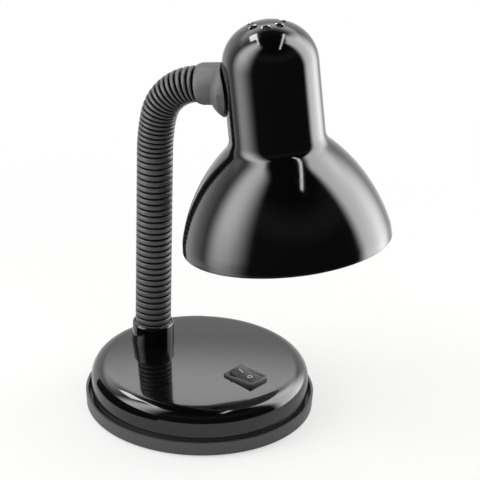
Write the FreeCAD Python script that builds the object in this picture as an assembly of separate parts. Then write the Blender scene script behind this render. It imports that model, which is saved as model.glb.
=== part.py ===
import FreeCAD, Part
import math
import os

# A desk lamp: a round weighted base with a rocker switch, a ribbed gooseneck and a bell shade.
# Millimetres and degrees. +Z is up, the origin is the middle of the base's underside,
# and +X runs from the neck's socket to the switch.

# Short names for the maths of places
V = FreeCAD.Vector
Turn = FreeCAD.Rotation
Place = FreeCAD.Placement
ORIGIN = V(0, 0, 0)
ALONG_X = V(1, 0, 0)
ALONG_Y = V(0, 1, 0)
ALONG_Z = V(0, 0, 1)
FULL_TURN = 360
HALF_TURN = 180
QUARTER_TURN = 90
HEX_SIDES = 6

# Cuts, and the clearances that pieces share
cut_overrun = 1.0
seat_gap = 0.05
thread_gap = 0.02
hole_gap = 0.3

# Anti-slip foam pad under the base, glued over the screws
pad_radius = 60.0
pad_thickness = 1.6
pad_proud = 0.8

# Base tray, the ring that shows round the foot of the cover
tray_radius = 67.5
tray_draft = 0.5
tray_height = 8.5
tray_floor = 2.2
tray_lip = 1.4
tray_edge_round = 0.5
upstand_radius = 63.0
upstand_height = 9.9
spigot_radius = 61.4
spigot_wall = 1.8
spigot_height = 3.4

# Base cover, the glossy dome with its neck socket
cover_radius = 64.2
cover_wall = 2.4
cover_shoulder = 9.6
cover_shoulder_height = 26.9
cover_crown = 1.8
socket_x = -37.2
socket_top_radius = 12.25
socket_foot_radius = 12.65
socket_top_height = 40.5
socket_rim_round = 1.2
socket_bore_gap = 0.35
socket_floor_height = 29.5
socket_floor = 4.9
socket_floor_radius = 11.5

# Screws that hold the tray to the cover
screw_count = 3
screw_circle = 47.0
screw_first_angle = 90.0
screw_radius = 1.5
screw_reach = 12.0
screw_head_radius = 3.1
screw_head_height = 2.2
screw_head_gap = 0.4
screw_web = 2.0
post_radius = 4.0
tray_boss_radius = 5.4
tray_boss_height = 5.6
drive_width = 0.9
drive_depth = 1.1

# Ballast weight
ballast_radius = 57.5
ballast_height = 9.0
ballast_hole_gap = 0.8
ballast_pocket_length = 27.0
ballast_pocket_width = 20.0

# Rubber grommet of the cord's inlet, at the back of the cover
grommet_height = 14.5
grommet_radius = 3.3
grommet_bore = 2.7
grommet_flange = 1.4
grommet_flange_thickness = 1.5
grommet_notch = 12.0
grommet_slack = 0.15

# Rocker switch
switch_x = 35.0
switch_seat_height = 27.4
bezel_length = 21.0
bezel_width = 15.0
bezel_height = 2.5
bezel_round = 0.5
switch_body_length = 19.2
switch_body_width = 12.9
switch_body_depth = 11.5
switch_window_length = 17.2
switch_window_width = 10.7
switch_well_length = 14.4
switch_well_width = 5.4
switch_well_floor = 1.8
rocker_reach = 8.25
rocker_width = 10.2
rocker_throw = 11.0
rocker_face_rise = 1.6
rocker_flush_drop = 0.25
rocker_belly = 3.0
rocker_swing_room = 5.2
rocker_pin_radius = 1.0
rocker_pin_length = 0.8
plunger_radius = 0.8
plunger_reach = 6.0
plunger_depth = 1.8
blade_length = 12.6
blade_width = 3.6
blade_thickness = 0.5
blade_gap = 0.12
blade_throw = 8.0
terminal_width = 4.8
terminal_thickness = 0.8
terminal_length = 8.0
terminal_spacing = 5.2

# Terminal block and the wires in the base
block_x = 6.0
block_y = -30.0
block_length = 12.0
block_width = 17.0
block_height = 9.5
block_pitch = 8.0
block_bore = 1.2
block_screw_radius = 1.6
block_screw_height = 3.2
block_screw_inset = 3.0
wire_radius = 0.9
wire_split = 1.3
wire_entry = 3.0
wire_bend = 12.0
core_fan = 7.0
arc_share = 0.45

# Centre line of the neck, as it is bent at rest
bend_heading = 23.0
neck_foot_height = 33.8
neck_straight = 117.2
gentle_bend_radius = 131.0
gentle_bend_turn = 10.2
tight_bend_radius = 28.6
neck_end_rise = 8.3
neck_end_run = 0.3

# Ribbed sleeve of the neck
rib_count = 48
rib_pitch = 3.78
rib_crest_radius = 10.6
rib_floor_radius = 8.9
rib_crest_width = 1.5
rib_foot_width = 2.2
sleeve_bore = 7.6
# Ribs below each place where the neck bends, counted from its foot
bend_ribs = (7, 13, 19, 25, 31, 35, 38, 41, 44)

# Steel neck inside the sleeve: a ball on each length sits in the socket of the next
conduit_radius = 7.3
conduit_bore = 3.4
ball_radius = 5.6
ball_gap = 0.25
ball_top = 2.4
ball_neck_radius = 4.2
ball_neck_end = 4.4
socket_cavity_top = 3.8
skirt_radius = 6.9
skirt_drop = 2.6
skirt_rise = 1.2

# Ferrule, washer and nut at the foot of the neck
ferrule_radius = 9.8
ferrule_web = 1.0
thread_radius = 5.0
foot_washer_radius = 8.5
foot_washer_thickness = 1.0
nut_across = 14.0
foot_nut_height = 3.0
foot_thread_proud = 0.5

# Two-core cable through the neck
cable_radius = 2.6
cable_tail = 1.0
cable_bend = 5.2
cable_straight = 9.0

# Collar with the saddle cup, at the head end of the neck
collar_radius = 12.25
collar_mouth_radius = 11.45
collar_chamfer = 2.5
collar_length = 14.5
collar_bore_depth = 5.6
collar_pocket_depth = 8.8
hub_radius = 8.5
hub_end = 15.0
cup_drop = 3.2
cup_start = 8.1
cup_start_radius = 8.76
cup_shoulder = 15.0
cup_rim_radius = 16.2
cup_bulge = 0.8
cup_wall = 1.8
cup_gap = 1.3

# Swivel between the collar and the neck of the shade
neck_reach = 43.95
head_roll = -4.45
swivel_gap = 0.1
saddle_radius = 9.0
bracket_width = 14.0
bracket_thickness = 1.5
bracket_leg_drop = 11.8
bracket_arm_rise = 10.2
bracket_arm_end = 9.0
bracket_wire_hole = 3.0
spring_washer_radius = 7.6
spring_washer_thickness = 0.9
swivel_nut_height = 3.0
nipple_proud = 0.6

# Shade, a bell on a round neck, measured up its own axis from the mouth
mouth_radius = 60.8
mouth_band = 6.0
mouth_band_draft = 0.33
bowl_radius = 102.0
bowl_lean = 12.3
shade_neck_radius = 27.8
shade_neck_fillet = 9.0
dome_start = 107.9
dome_shoulder = 24.0
dome_shoulder_turn = 60.0
shade_wall = 1.0
hem_width = 1.8
hem_height = 2.5
pivot_height = 95.8
vent_count = 7
vent_circle = 9.7
vent_radius = 2.5
vent_chamfer = 0.5
vent_first_angle = -75.0

# Lampholder, which hangs from the bracket's arm
holder_radius = 19.5
holder_spout = 6.0
holder_cone = 10.0
holder_cap_depth = 14.0
holder_skirt_depth = 17.5
holder_crown_radius = 8.5
holder_wall = 2.0
holder_lip_radius = 14.9
holder_nipple_depth = 10.0
holder_nut_height = 2.8
holder_nipple_proud = 1.2
insert_drop = 4.4
insert_thickness = 4.0
shell_gap = 0.25
shell_wall = 0.4
shell_depth = 24.9
rolled_pitch = 3.6
rolled_depth = 0.6
contact_width = 5.0
contact_length = 16.0
contact_thickness = 0.5

# Wires in the head
head_wire_bend = 2.5
head_wire_rise = 9.5

# Bulb, a small globe on a screw cap
bulb_radius = 22.5
bulb_length = 72.0
bulb_wall = 0.8
bulb_neck_radius = 11.8
bulb_cap_radius = 13.1
bulb_cap_wall = 0.5
bulb_cap_length = 23.1
bulb_tip_radius = 4.5
bulb_tip_height = 1.0
bulb_tip_gap = 1.6
insulator_tip_radius = 4.75
insulator_height = 2.8

# Heights and places that follow from the sizes above
tray_low = pad_proud
floor_top = tray_low + tray_floor
cover_low = tray_low + upstand_height
cover_edge = tray_low + cover_shoulder_height
cover_top = cover_edge + cover_crown
crown_reach = cover_radius - cover_shoulder
crown_radius = (crown_reach ** 2 + cover_crown ** 2) / (2 * cover_crown)
crown_centre = cover_top - crown_radius
socket_rim = tray_low + socket_top_height
socket_seat = tray_low + socket_floor_height
socket_under = socket_seat - socket_floor
socket_bore = rib_crest_radius + socket_bore_gap
ballast_low = floor_top
ballast_top = ballast_low + ballast_height
screw_seat = tray_low + tray_boss_height - screw_web
boss_top = tray_low + tray_boss_height
sleeve_foot = tray_low + neck_foot_height
ferrule_low = socket_under - foot_washer_thickness - foot_nut_height - foot_thread_proud
switch_seat = tray_low + switch_seat_height
bezel_top = switch_seat + bezel_height
rocker_axis = bezel_top - rocker_flush_drop - rocker_face_rise * math.cos(math.radians(rocker_throw))
blade_axis = rocker_axis - plunger_reach - blade_gap - blade_thickness
switch_bottom = switch_seat - switch_body_depth
tight_bend_turn = QUARTER_TURN - neck_end_rise - gentle_bend_turn
bend_1_start = neck_straight
bend_1_end = bend_1_start + gentle_bend_radius * math.radians(gentle_bend_turn)
bend_2_end = bend_1_end + tight_bend_radius * math.radians(tight_bend_turn)
collar_start = bend_2_end + neck_end_run
bracket_arm_height = pivot_height + bracket_arm_rise
bracket_foot = pivot_height - bracket_leg_drop
holder_crown = bracket_arm_height - holder_spout
holder_shoulder = holder_crown - holder_cone
holder_split = holder_shoulder - holder_cap_depth
holder_low = holder_split - holder_skirt_depth
insert_low = holder_shoulder - insert_drop
shell_low = insert_low - shell_depth
bulb_tip = insert_low - bulb_tip_gap
bulb_bottom = bulb_tip - bulb_length
bulb_cap_high = bulb_tip - bulb_tip_height - insulator_height
bulb_cap_low = bulb_cap_high - bulb_cap_length
head_wire_top = bracket_arm_height + head_wire_rise
bracket_inner = shade_neck_radius - shade_wall
bracket_face = neck_reach - math.sqrt(bracket_inner ** 2 - (bracket_width / 2) ** 2) + seat_gap
swivel_washer_low = bracket_face + bracket_thickness + swivel_gap
swivel_nut_low = swivel_washer_low + spring_washer_thickness
nipple_end = swivel_nut_low + swivel_nut_height + nipple_proud
cable_end = nipple_end + cable_tail


# Plain shapes
def outline(start, *steps):
    """Face in the XZ plane through (radius, height) points. A pair of points is an arc through the first."""
    first = V(start[0], 0, start[1])
    here = first
    edges = []
    for step in steps:
        if isinstance(step[0], tuple):
            middle = V(step[0][0], 0, step[0][1])
            there = V(step[1][0], 0, step[1][1])
            edges.append(Part.Arc(here, middle, there).toShape())
        else:
            there = V(step[0], 0, step[1])
            edges.append(Part.makeLine(here, there))
        here = there
    edges.append(Part.makeLine(here, first))
    return Part.Face(Part.Wire(edges))


def turned(start, *steps):
    """Solid made by spinning an outline round the Z axis."""
    return outline(start, *steps).revolve(ORIGIN, ALONG_Z, FULL_TURN)


def on_arc(centre, radius, angle):
    """Point of an outline at an angle on a circle, counted from the outward direction."""
    turn = math.radians(angle)
    return (centre[0] + radius * math.cos(turn), centre[1] + radius * math.sin(turn))


def rod(radius, low, high):
    return Part.makeCylinder(radius, high - low, V(0, 0, low))


def tube(radius, bore, low, high):
    return rod(radius, low, high).cut(rod(bore, low - cut_overrun, high + cut_overrun))


def slab(length, width, low, high):
    """Box centred on the Z axis."""
    return Part.makeBox(length, width, high - low, V(-length / 2, -width / 2, low))


def hex_nut(bore, low, high):
    corner = nut_across / 2 / cosine(HALF_TURN / HEX_SIDES)
    points = []
    for side in range(HEX_SIDES + 1):
        angle = math.radians(side * FULL_TURN / HEX_SIDES)
        points.append(V(corner * math.cos(angle), corner * math.sin(angle), low))
    body = Part.Face(Part.makePolygon(points)).extrude(V(0, 0, high - low))
    return body.cut(rod(bore, low - cut_overrun, high + cut_overrun))


def moved(shape, place):
    copy = shape.copy()
    copy.Placement = place.multiply(copy.Placement)
    return copy


def at(x, y, z):
    return Place(V(x, y, z), Turn())


def lie_along_x(shape):
    """Turn a piece made round Z so that its Z runs along +X and its +X runs down."""
    return moved(shape, Place(ORIGIN, Turn(ALONG_Y, QUARTER_TURN)))


def union(shapes):
    whole = shapes[0]
    for shape in shapes[1:]:
        whole = whole.fuse(shape)
    return whole.removeSplitter()


def cut_all(shape, tools):
    for tool in tools:
        shape = shape.cut(tool)
    return shape


def round_places(count, circle, first_angle):
    places = []
    for step in range(count):
        angle = math.radians(first_angle + step * FULL_TURN / count)
        places.append(at(circle * math.cos(angle), circle * math.sin(angle), 0))
    return places


def route_edges(points, largest_bend):
    """Straight runs, with an arc at each corner that is as large as its runs allow, up to a limit."""
    edges = []
    here = points[0]
    for before, corner, after in zip(points, points[1:], points[2:]):
        way_in = (corner - before).normalize()
        way_out = (after - corner).normalize()
        half_turn = way_in.getAngle(way_out) / 2
        reach = arc_share * min((corner - before).Length, (after - corner).Length)
        bend = min(reach / math.tan(half_turn), largest_bend)
        reach = bend * math.tan(half_turn)
        inward = (way_out - way_in).normalize()
        start = corner - way_in * reach
        end = corner + way_out * reach
        middle = corner + inward * (bend / math.cos(half_turn) - bend)
        edges.append(Part.makeLine(here, start))
        edges.append(Part.Arc(start, middle, end).toShape())
        here = end
    edges.append(Part.makeLine(here, points[-1]))
    return edges


def sweep(radius, edges):
    """Round tube along edges that meet smoothly."""
    path = Part.Wire(edges)
    start = path.OrderedVertexes[0].Point
    way = path.OrderedEdges[0].tangentAt(path.OrderedEdges[0].FirstParameter)
    ring = Part.Wire(Part.makeCircle(radius, start, way))
    return path.makePipeShell([ring], True, False)


# The neck's centre line: length along it, counted from the sleeve's foot
def neck_station(length):
    """Place on the centre line. Its Z runs up the neck and its X is the axis that the bends turn about."""
    turn = math.degrees(min(max(length - bend_1_start, 0), bend_1_end - bend_1_start) / gentle_bend_radius)
    further = math.degrees(min(max(length - bend_1_end, 0), bend_2_end - bend_1_end) / tight_bend_radius)
    run = gentle_bend_radius * (1 - cosine(turn)) + tight_bend_radius * (cosine(turn) - cosine(turn + further))
    rise = min(length, bend_1_start) + gentle_bend_radius * sine(turn)
    rise += tight_bend_radius * (sine(turn + further) - sine(turn))
    over = max(length - bend_2_end, 0)
    run += over * sine(turn + further)
    rise += over * cosine(turn + further)
    heading = Turn(ALONG_Z, bend_heading)
    level = heading.multVec(V(run, 0, rise)) + V(socket_x, 0, sleeve_foot)
    return Place(level, heading.multiply(Turn(ALONG_Y, turn + further)).multiply(Turn(ALONG_Z, QUARTER_TURN)))


def sine(angle):
    return math.sin(math.radians(angle))


def cosine(angle):
    return math.cos(math.radians(angle))


def neck_pipe(radius, low, high):
    """Round bar along the centre line, between two lengths."""
    stretches = [
        (low, bend_1_start, 0),
        (bend_1_start, bend_1_end, gentle_bend_radius),
        (bend_1_end, bend_2_end, tight_bend_radius),
        (bend_2_end, high, 0),
    ]
    pieces = []
    for stretch_start, stretch_end, bend in stretches:
        start = max(low, stretch_start)
        end = min(high, stretch_end)
        if end <= start:
            continue
        if bend == 0:
            piece = rod(radius, 0, end - start)
        else:
            disc = Part.Face(Part.Wire(Part.makeCircle(radius, ORIGIN, ALONG_Z)))
            piece = disc.revolve(V(0, -bend, 0), ALONG_X, math.degrees((end - start) / bend))
        pieces.append(moved(piece, neck_station(start)))
    return union(pieces)


def neck_wire_edges(low, high):
    """Edges of the centre line between two lengths, for a cable to follow."""
    marks = [low, bend_1_start, bend_1_end, bend_2_end, high]
    edges = []
    for start, end in zip(marks, marks[1:]):
        first = neck_station(start)
        last = neck_station(end)
        if start in (bend_1_start, bend_1_end):
            middle = neck_station((start + end) / 2)
            edges.append(Part.Arc(first.Base, middle.Base, last.Base).toShape())
        else:
            edges.append(Part.makeLine(first.Base, last.Base))
    return edges


# Frames of the head: the collar's axis is X, and the shade's axis is Z
head_turn = Turn(ALONG_Z, bend_heading)
head_turn = head_turn.multiply(Turn(ALONG_Y, -neck_end_rise))
head_turn = head_turn.multiply(Turn(ALONG_X, head_roll))
collar_place = Place(neck_station(collar_start).Base, head_turn)
head_place = collar_place.multiply(at(neck_reach, 0, -pivot_height))


# Base
def base_tray():
    low_edge = tray_radius - tray_draft
    top = tray_low + tray_height
    body = turned(
        (0, tray_low),
        (low_edge - tray_edge_round, tray_low),
        (low_edge, tray_low + tray_edge_round),
        (tray_radius, top),
        (tray_radius - tray_lip, top),
        (tray_radius - tray_lip, floor_top),
        (upstand_radius, floor_top),
        (upstand_radius, cover_low),
        (spigot_radius, cover_low),
        (spigot_radius, cover_low + spigot_height),
        (spigot_radius - spigot_wall, cover_low + spigot_height),
        (spigot_radius - spigot_wall, floor_top),
        (0, floor_top),
    )
    for place in round_places(screw_count, screw_circle, screw_first_angle):
        body = body.fuse(moved(rod(tray_boss_radius, floor_top, boss_top), place))
        head_hole = rod(screw_head_radius + screw_head_gap, tray_low - cut_overrun, screw_seat)
        shank_hole = rod(screw_radius + hole_gap, tray_low, boss_top + cut_overrun)
        body = cut_all(body, [moved(head_hole, place), moved(shank_hole, place)])
    body = body.cut(rod(pad_radius + seat_gap, 0, pad_thickness))
    notch_low = tray_low + grommet_height - grommet_radius - grommet_flange - hole_gap
    notch_depth = spigot_wall + spigot_radius - crown_reach
    notch = slab(notch_depth, grommet_notch, notch_low, cover_low + spigot_height + cut_overrun)
    return body.cut(moved(notch, at(-spigot_radius, 0, 0))).removeSplitter()


def base_pad():
    return rod(pad_radius, 0, pad_thickness)


def base_screws():
    low = screw_seat - screw_head_height
    screw = rod(screw_head_radius, low, screw_seat).fuse(rod(screw_radius, low, screw_seat + screw_reach))
    for turn in (0, QUARTER_TURN):
        bar = slab(2 * screw_head_radius - drive_width, drive_width, low - cut_overrun, low + drive_depth)
        screw = screw.cut(moved(bar, Place(ORIGIN, Turn(ALONG_Z, turn))))
    places = round_places(screw_count, screw_circle, screw_first_angle)
    return Part.makeCompound([moved(screw, place) for place in places])


def ballast_weight():
    body = rod(ballast_radius, ballast_low, ballast_top)
    for place in round_places(screw_count, screw_circle, screw_first_angle):
        hole = rod(tray_boss_radius + ballast_hole_gap, ballast_low - cut_overrun, ballast_top + cut_overrun)
        body = body.cut(moved(hole, place))
    pocket = slab(
        ballast_pocket_length,
        ballast_pocket_width,
        ballast_low - cut_overrun,
        ballast_top + cut_overrun,
    )
    return body.cut(moved(pocket, at(switch_x, 0, 0)))


def cover_profile(inset, low):
    """Cover's outline at a depth below its outer face."""
    shoulder = (crown_reach, cover_edge - cover_shoulder)
    crown_lean = math.degrees(math.asin(crown_reach / crown_radius))
    crown_end = on_arc((0, crown_centre), crown_radius - inset, QUARTER_TURN - crown_lean)
    crown_middle = on_arc((0, crown_centre), crown_radius - inset, QUARTER_TURN - crown_lean / 2)
    edge_start = (cover_radius - inset, shoulder[1])
    reach = cover_shoulder - inset
    edge_middle = on_arc(shoulder, reach, QUARTER_TURN / 2)
    return turned(
        (0, low),
        (cover_radius - inset, low),
        edge_start,
        (edge_middle, crown_end),
        (crown_middle, (0, cover_top - inset)),
    )


def base_cover():
    body = cover_profile(0, cover_low)
    rim_corner = (socket_top_radius - socket_rim_round, socket_rim - socket_rim_round)
    socket = turned(
        (0, socket_under),
        (socket_foot_radius, socket_under),
        (socket_foot_radius, cover_top),
        (socket_top_radius, rim_corner[1]),
        (on_arc(rim_corner, socket_rim_round, QUARTER_TURN / 2), (rim_corner[0], socket_rim)),
        (0, socket_rim),
    )
    floor = rod(socket_floor_radius, socket_under, socket_seat)
    under_shell = cover_profile(cover_wall, cover_low - cut_overrun)
    shell = body.cut(under_shell)
    shell = shell.fuse(moved(socket, at(socket_x, 0, 0)).cut(under_shell))
    shell = shell.fuse(moved(floor, at(socket_x, 0, 0)))
    bore = rod(socket_bore, socket_seat, socket_rim + cut_overrun)
    stem_hole = rod(thread_radius + hole_gap, socket_under - cut_overrun, socket_seat + cut_overrun)
    for place in round_places(screw_count, screw_circle, screw_first_angle):
        column = moved(rod(post_radius, boss_top, cover_top), place).common(cover_profile(cover_wall / 2, 0))
        pilot = rod(screw_radius + thread_gap, boss_top - cut_overrun, screw_seat + screw_reach + seat_gap)
        shell = shell.fuse(column).cut(moved(pilot, place))
    shell = cut_all(shell, [moved(bore, at(socket_x, 0, 0)), moved(stem_hole, at(socket_x, 0, 0))])
    bezel_seat = slab(
        bezel_length + 2 * seat_gap,
        bezel_width + 2 * seat_gap,
        switch_seat,
        cover_top + cut_overrun,
    )
    opening = slab(
        switch_body_length + 2 * seat_gap,
        switch_body_width + 2 * seat_gap,
        switch_bottom,
        cover_top + cut_overrun,
    )
    shell = cut_all(shell, [moved(bezel_seat, at(switch_x, 0, 0)), moved(opening, at(switch_x, 0, 0))])
    inlet = lie_along_x(rod(grommet_radius + seat_gap, -cover_radius - cut_overrun, -crown_reach))
    return shell.cut(moved(inlet, at(0, 0, tray_low + grommet_height))).removeSplitter()


def cord_grommet():
    outer = -cover_radius - seat_gap
    flange_radius = grommet_radius + grommet_flange
    inner = grommet_slack - math.sqrt((cover_radius - cover_wall) ** 2 - flange_radius ** 2)
    outer_end = outer - grommet_flange_thickness
    inner_end = inner + grommet_flange_thickness
    body = union([
        rod(flange_radius, outer_end, outer),
        rod(grommet_radius, outer_end, inner_end),
        rod(flange_radius, inner, inner_end),
    ])
    bore = rod(grommet_bore, outer_end - cut_overrun, inner_end + cut_overrun)
    return moved(lie_along_x(body.cut(bore)), at(0, 0, tray_low + grommet_height))


# Rocker switch
def switch_housing():
    bezel = slab(bezel_length, bezel_width, switch_seat, bezel_top)
    rim = [edge for edge in bezel.Edges if edge.BoundBox.ZMin > switch_seat]
    bezel = bezel.makeFillet(bezel_round, rim)
    body = slab(switch_body_length, switch_body_width, switch_bottom, switch_seat + bezel_round)
    room_floor = rocker_axis - rocker_swing_room
    window = slab(switch_window_length, switch_window_width, room_floor, bezel_top + cut_overrun)
    well_floor = switch_bottom + switch_well_floor
    well = slab(switch_well_length, switch_well_width, well_floor, room_floor + cut_overrun)
    pin_hole = Part.makeCylinder(
        rocker_pin_radius + seat_gap,
        switch_window_width + 2 * rocker_pin_length,
        V(0, -switch_window_width / 2 - rocker_pin_length, rocker_axis),
        ALONG_Y,
    )
    housing = cut_all(bezel.fuse(body), [window, well, pin_hole])
    for offset in (0, terminal_spacing):
        slot = slab(
            terminal_thickness + 2 * seat_gap,
            terminal_width + 2 * seat_gap,
            switch_bottom - cut_overrun,
            well_floor + cut_overrun,
        )
        housing = housing.cut(moved(slot, at(offset, 0, 0)))
    return moved(housing.removeSplitter(), at(switch_x, 0, 0))


def switch_rocker():
    """Rocker about its own axis, level, then pressed down at its outer end."""
    face_end = rocker_face_end()
    belly_end = math.sqrt(rocker_reach ** 2 - rocker_belly ** 2)
    profile = outline(
        (0, -rocker_belly),
        (belly_end, -rocker_belly),
        ((rocker_reach, 0), face_end),
        (0, rocker_face_rise),
        (-face_end[0], face_end[1]),
        ((-rocker_reach, 0), (-belly_end, -rocker_belly)),
    )
    rocker = profile.extrude(V(0, rocker_width, 0))
    rocker = moved(rocker, at(0, -rocker_width / 2, 0))
    pin_reach = switch_window_width / 2 + rocker_pin_length - seat_gap
    pin = Part.makeCylinder(rocker_pin_radius, 2 * pin_reach, V(0, -pin_reach, 0), ALONG_Y)
    pocket = rod(plunger_radius + seat_gap, -rocker_belly - cut_overrun, plunger_depth - rocker_belly)
    return moved(rocker.fuse(pin).cut(pocket), rocker_place())


def rocker_face_end():
    """Where the rocker's sloping face meets its round end."""
    slope = math.tan(math.radians(rocker_throw))
    steep = 1 + slope ** 2
    half = rocker_face_rise * slope
    run = (math.sqrt(half ** 2 - steep * (rocker_face_rise ** 2 - rocker_reach ** 2)) - half) / steep
    return (run, rocker_face_rise + run * slope)


def rocker_place():
    return Place(V(switch_x, 0, rocker_axis), Turn(ALONG_Y, rocker_throw))


def switch_plunger():
    tip = Part.makeSphere(plunger_radius, V(0, 0, plunger_radius - plunger_reach))
    stem = rod(plunger_radius, plunger_radius - plunger_reach, plunger_depth - rocker_belly)
    return moved(stem.fuse(tip).removeSplitter(), rocker_place())


def switch_blade():
    blade = slab(blade_length, blade_width, 0, blade_thickness)
    return moved(blade, Place(V(switch_x, 0, blade_axis), Turn(ALONG_Y, -blade_throw)))


def switch_terminals():
    outer_drop = (terminal_spacing + terminal_thickness / 2) * math.tan(math.radians(blade_throw))
    solids = []
    inner_top = blade_axis - blade_gap
    for offset, top in ((0, inner_top), (terminal_spacing, inner_top - outer_drop)):
        spade = slab(terminal_thickness, terminal_width, switch_bottom - terminal_length, top)
        solids.append(moved(spade, at(switch_x + offset, 0, 0)))
    return Part.makeCompound(solids)


# Terminal block and wires in the base
def block_sides():
    return (-block_pitch / 2, block_pitch / 2)


def terminal_block():
    top = ballast_top + block_height
    body = slab(block_length, block_width, ballast_top, top)
    middle = ballast_top + block_height / 2
    for side in block_sides():
        bore = Part.makeCylinder(
            block_bore,
            block_length + 2 * cut_overrun,
            V(-block_length / 2 - cut_overrun, side, middle),
            ALONG_X,
        )
        body = body.cut(bore)
        for end in (-1, 1):
            hole = rod(block_screw_radius + seat_gap, middle, top + cut_overrun)
            body = body.cut(moved(hole, at(end * (block_length / 2 - block_screw_inset), side, 0)))
    return moved(body, at(block_x, block_y, 0))


def block_screws():
    top = ballast_top + block_height - seat_gap
    screw = rod(block_screw_radius, top - block_screw_height, top)
    slot = slab(2 * block_screw_radius + cut_overrun, drive_width, top - drive_depth, top + cut_overrun)
    screw = screw.cut(slot)
    solids = []
    for side in block_sides():
        for end in (-1, 1):
            offset = end * (block_length / 2 - block_screw_inset)
            solids.append(moved(screw, at(block_x + offset, block_y + side, 0)))
    return Part.makeCompound(solids)


def base_wires():
    """Two cores from the cable's end into the block, and the lead from the block to the switch."""
    middle = ballast_top + block_height / 2
    entry = block_x - block_length / 2
    solids = []
    for sign in (-1, 1):
        split = block_y + sign * wire_split
        pole = block_y + sign * block_pitch / 2
        route = [
            V(entry - core_fan, split, middle),
            V(entry - core_fan + wire_entry / 2, split, middle),
            V(entry - wire_entry / 2, pole, middle),
            V(entry + wire_entry, pole, middle),
        ]
        solids.append(sweep(wire_radius, route_edges(route, wire_bend)))
    far_entry = block_x + block_length / 2
    pole = block_y + block_pitch / 2
    spade_face = switch_x - terminal_thickness / 2
    spade_middle = switch_bottom - terminal_length / 2
    route = [
        V(far_entry - wire_entry, pole, middle),
        V(far_entry + wire_entry, pole, middle),
        V((far_entry + spade_face) / 2, pole / 2, spade_middle + wire_entry / 2),
        V(spade_face - wire_entry, 0, spade_middle),
        V(spade_face, 0, spade_middle),
    ]
    solids.append(sweep(wire_radius, route_edges(route, wire_bend)))
    return Part.makeCompound(solids)


# Foot of the neck
def neck_ferrule():
    pocket_low = socket_seat + ferrule_web
    stem = rod(thread_radius, ferrule_low, pocket_low)
    body = rod(ferrule_radius, socket_seat, sleeve_foot).fuse(stem)
    body = body.cut(rod(conduit_radius + seat_gap, pocket_low, sleeve_foot + cut_overrun))
    body = body.cut(rod(conduit_bore, ferrule_low - cut_overrun, sleeve_foot))
    return moved(body, at(socket_x, 0, 0))


def ferrule_washer():
    low = socket_under - foot_washer_thickness
    return moved(tube(foot_washer_radius, thread_radius + hole_gap, low, socket_under), at(socket_x, 0, 0))


def ferrule_nut():
    top = socket_under - foot_washer_thickness
    return moved(hex_nut(thread_radius + thread_gap, top - foot_nut_height, top), at(socket_x, 0, 0))


# Gooseneck
def link_ribs():
    """First and last rib of each length between the places where the neck bends."""
    marks = (0,) + bend_ribs + (rib_count,)
    return list(zip(marks, marks[1:]))


def neck_sleeve(first_rib, last_rib):
    """Ribbed rubber sleeve of one length: four circles to a rib, and the round bore."""
    rings = []
    for rib in range(first_rib, last_rib):
        middle = rib * rib_pitch + rib_pitch / 2
        crest = rib_crest_width / 2
        foot = rib_foot_width / 2
        steps = [
            (-foot, rib_floor_radius),
            (-crest, rib_crest_radius),
            (crest, rib_crest_radius),
            (foot, rib_floor_radius),
        ]
        for offset, radius in steps:
            ring = Part.Wire(Part.makeCircle(radius))
            rings.append(moved(ring, neck_station(middle + offset)))
    outside = Part.makeLoft(rings, True, True)
    low = first_rib * rib_pitch
    high = last_rib * rib_pitch
    return outside.cut(neck_pipe(sleeve_bore, low, high))


def neck_conduit(first_rib, last_rib):
    """Steel length: socket round the ball below, tube, and a ball for the next length."""
    low = first_rib * rib_pitch
    high = last_rib * rib_pitch
    if first_rib == 0:
        start = ferrule_web + socket_seat - sleeve_foot
        pieces = []
    else:
        start = low + skirt_rise
        skirt = rod(skirt_radius, -skirt_drop, socket_cavity_top + skirt_rise)
        pieces = [moved(skirt, neck_station(low))]
    if last_rib == rib_count:
        end = collar_start + collar_pocket_depth
    else:
        end = high - ball_neck_end
        ball = Part.makeSphere(ball_radius).common(rod(ball_radius, -ball_radius, ball_top))
        pieces.append(moved(ball, neck_station(high)))
        pieces.append(neck_pipe(ball_neck_radius, end - skirt_rise, high - ball_top))
    pieces.append(neck_pipe(conduit_radius, start, end))
    body = union(pieces)
    if first_rib > 0:
        cavity = Part.makeSphere(ball_radius + ball_gap)
        cavity = cavity.common(rod(conduit_radius, -ball_radius - cut_overrun, socket_cavity_top))
        body = body.cut(moved(cavity, neck_station(low)))
    bore_start = start - cut_overrun if first_rib == 0 else low
    return body.cut(neck_pipe(conduit_bore, bore_start, max(high + ball_top, end) + cut_overrun))


def lamp_cable():
    """Round cable from the block, up through the neck, to the lampholder's side of the swivel."""
    middle = ballast_top + block_height / 2
    near_block = block_x - block_length / 2 - core_fan
    route = [
        V(near_block, block_y, middle),
        V(near_block - cable_straight, block_y, middle),
        V(socket_x, 0, ferrule_low - cable_bend),
        V(socket_x, 0, sleeve_foot),
    ]
    edges = route_edges(route, cable_bend) + neck_wire_edges(0, collar_start + cable_end)
    return sweep(cable_radius, edges)


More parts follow.
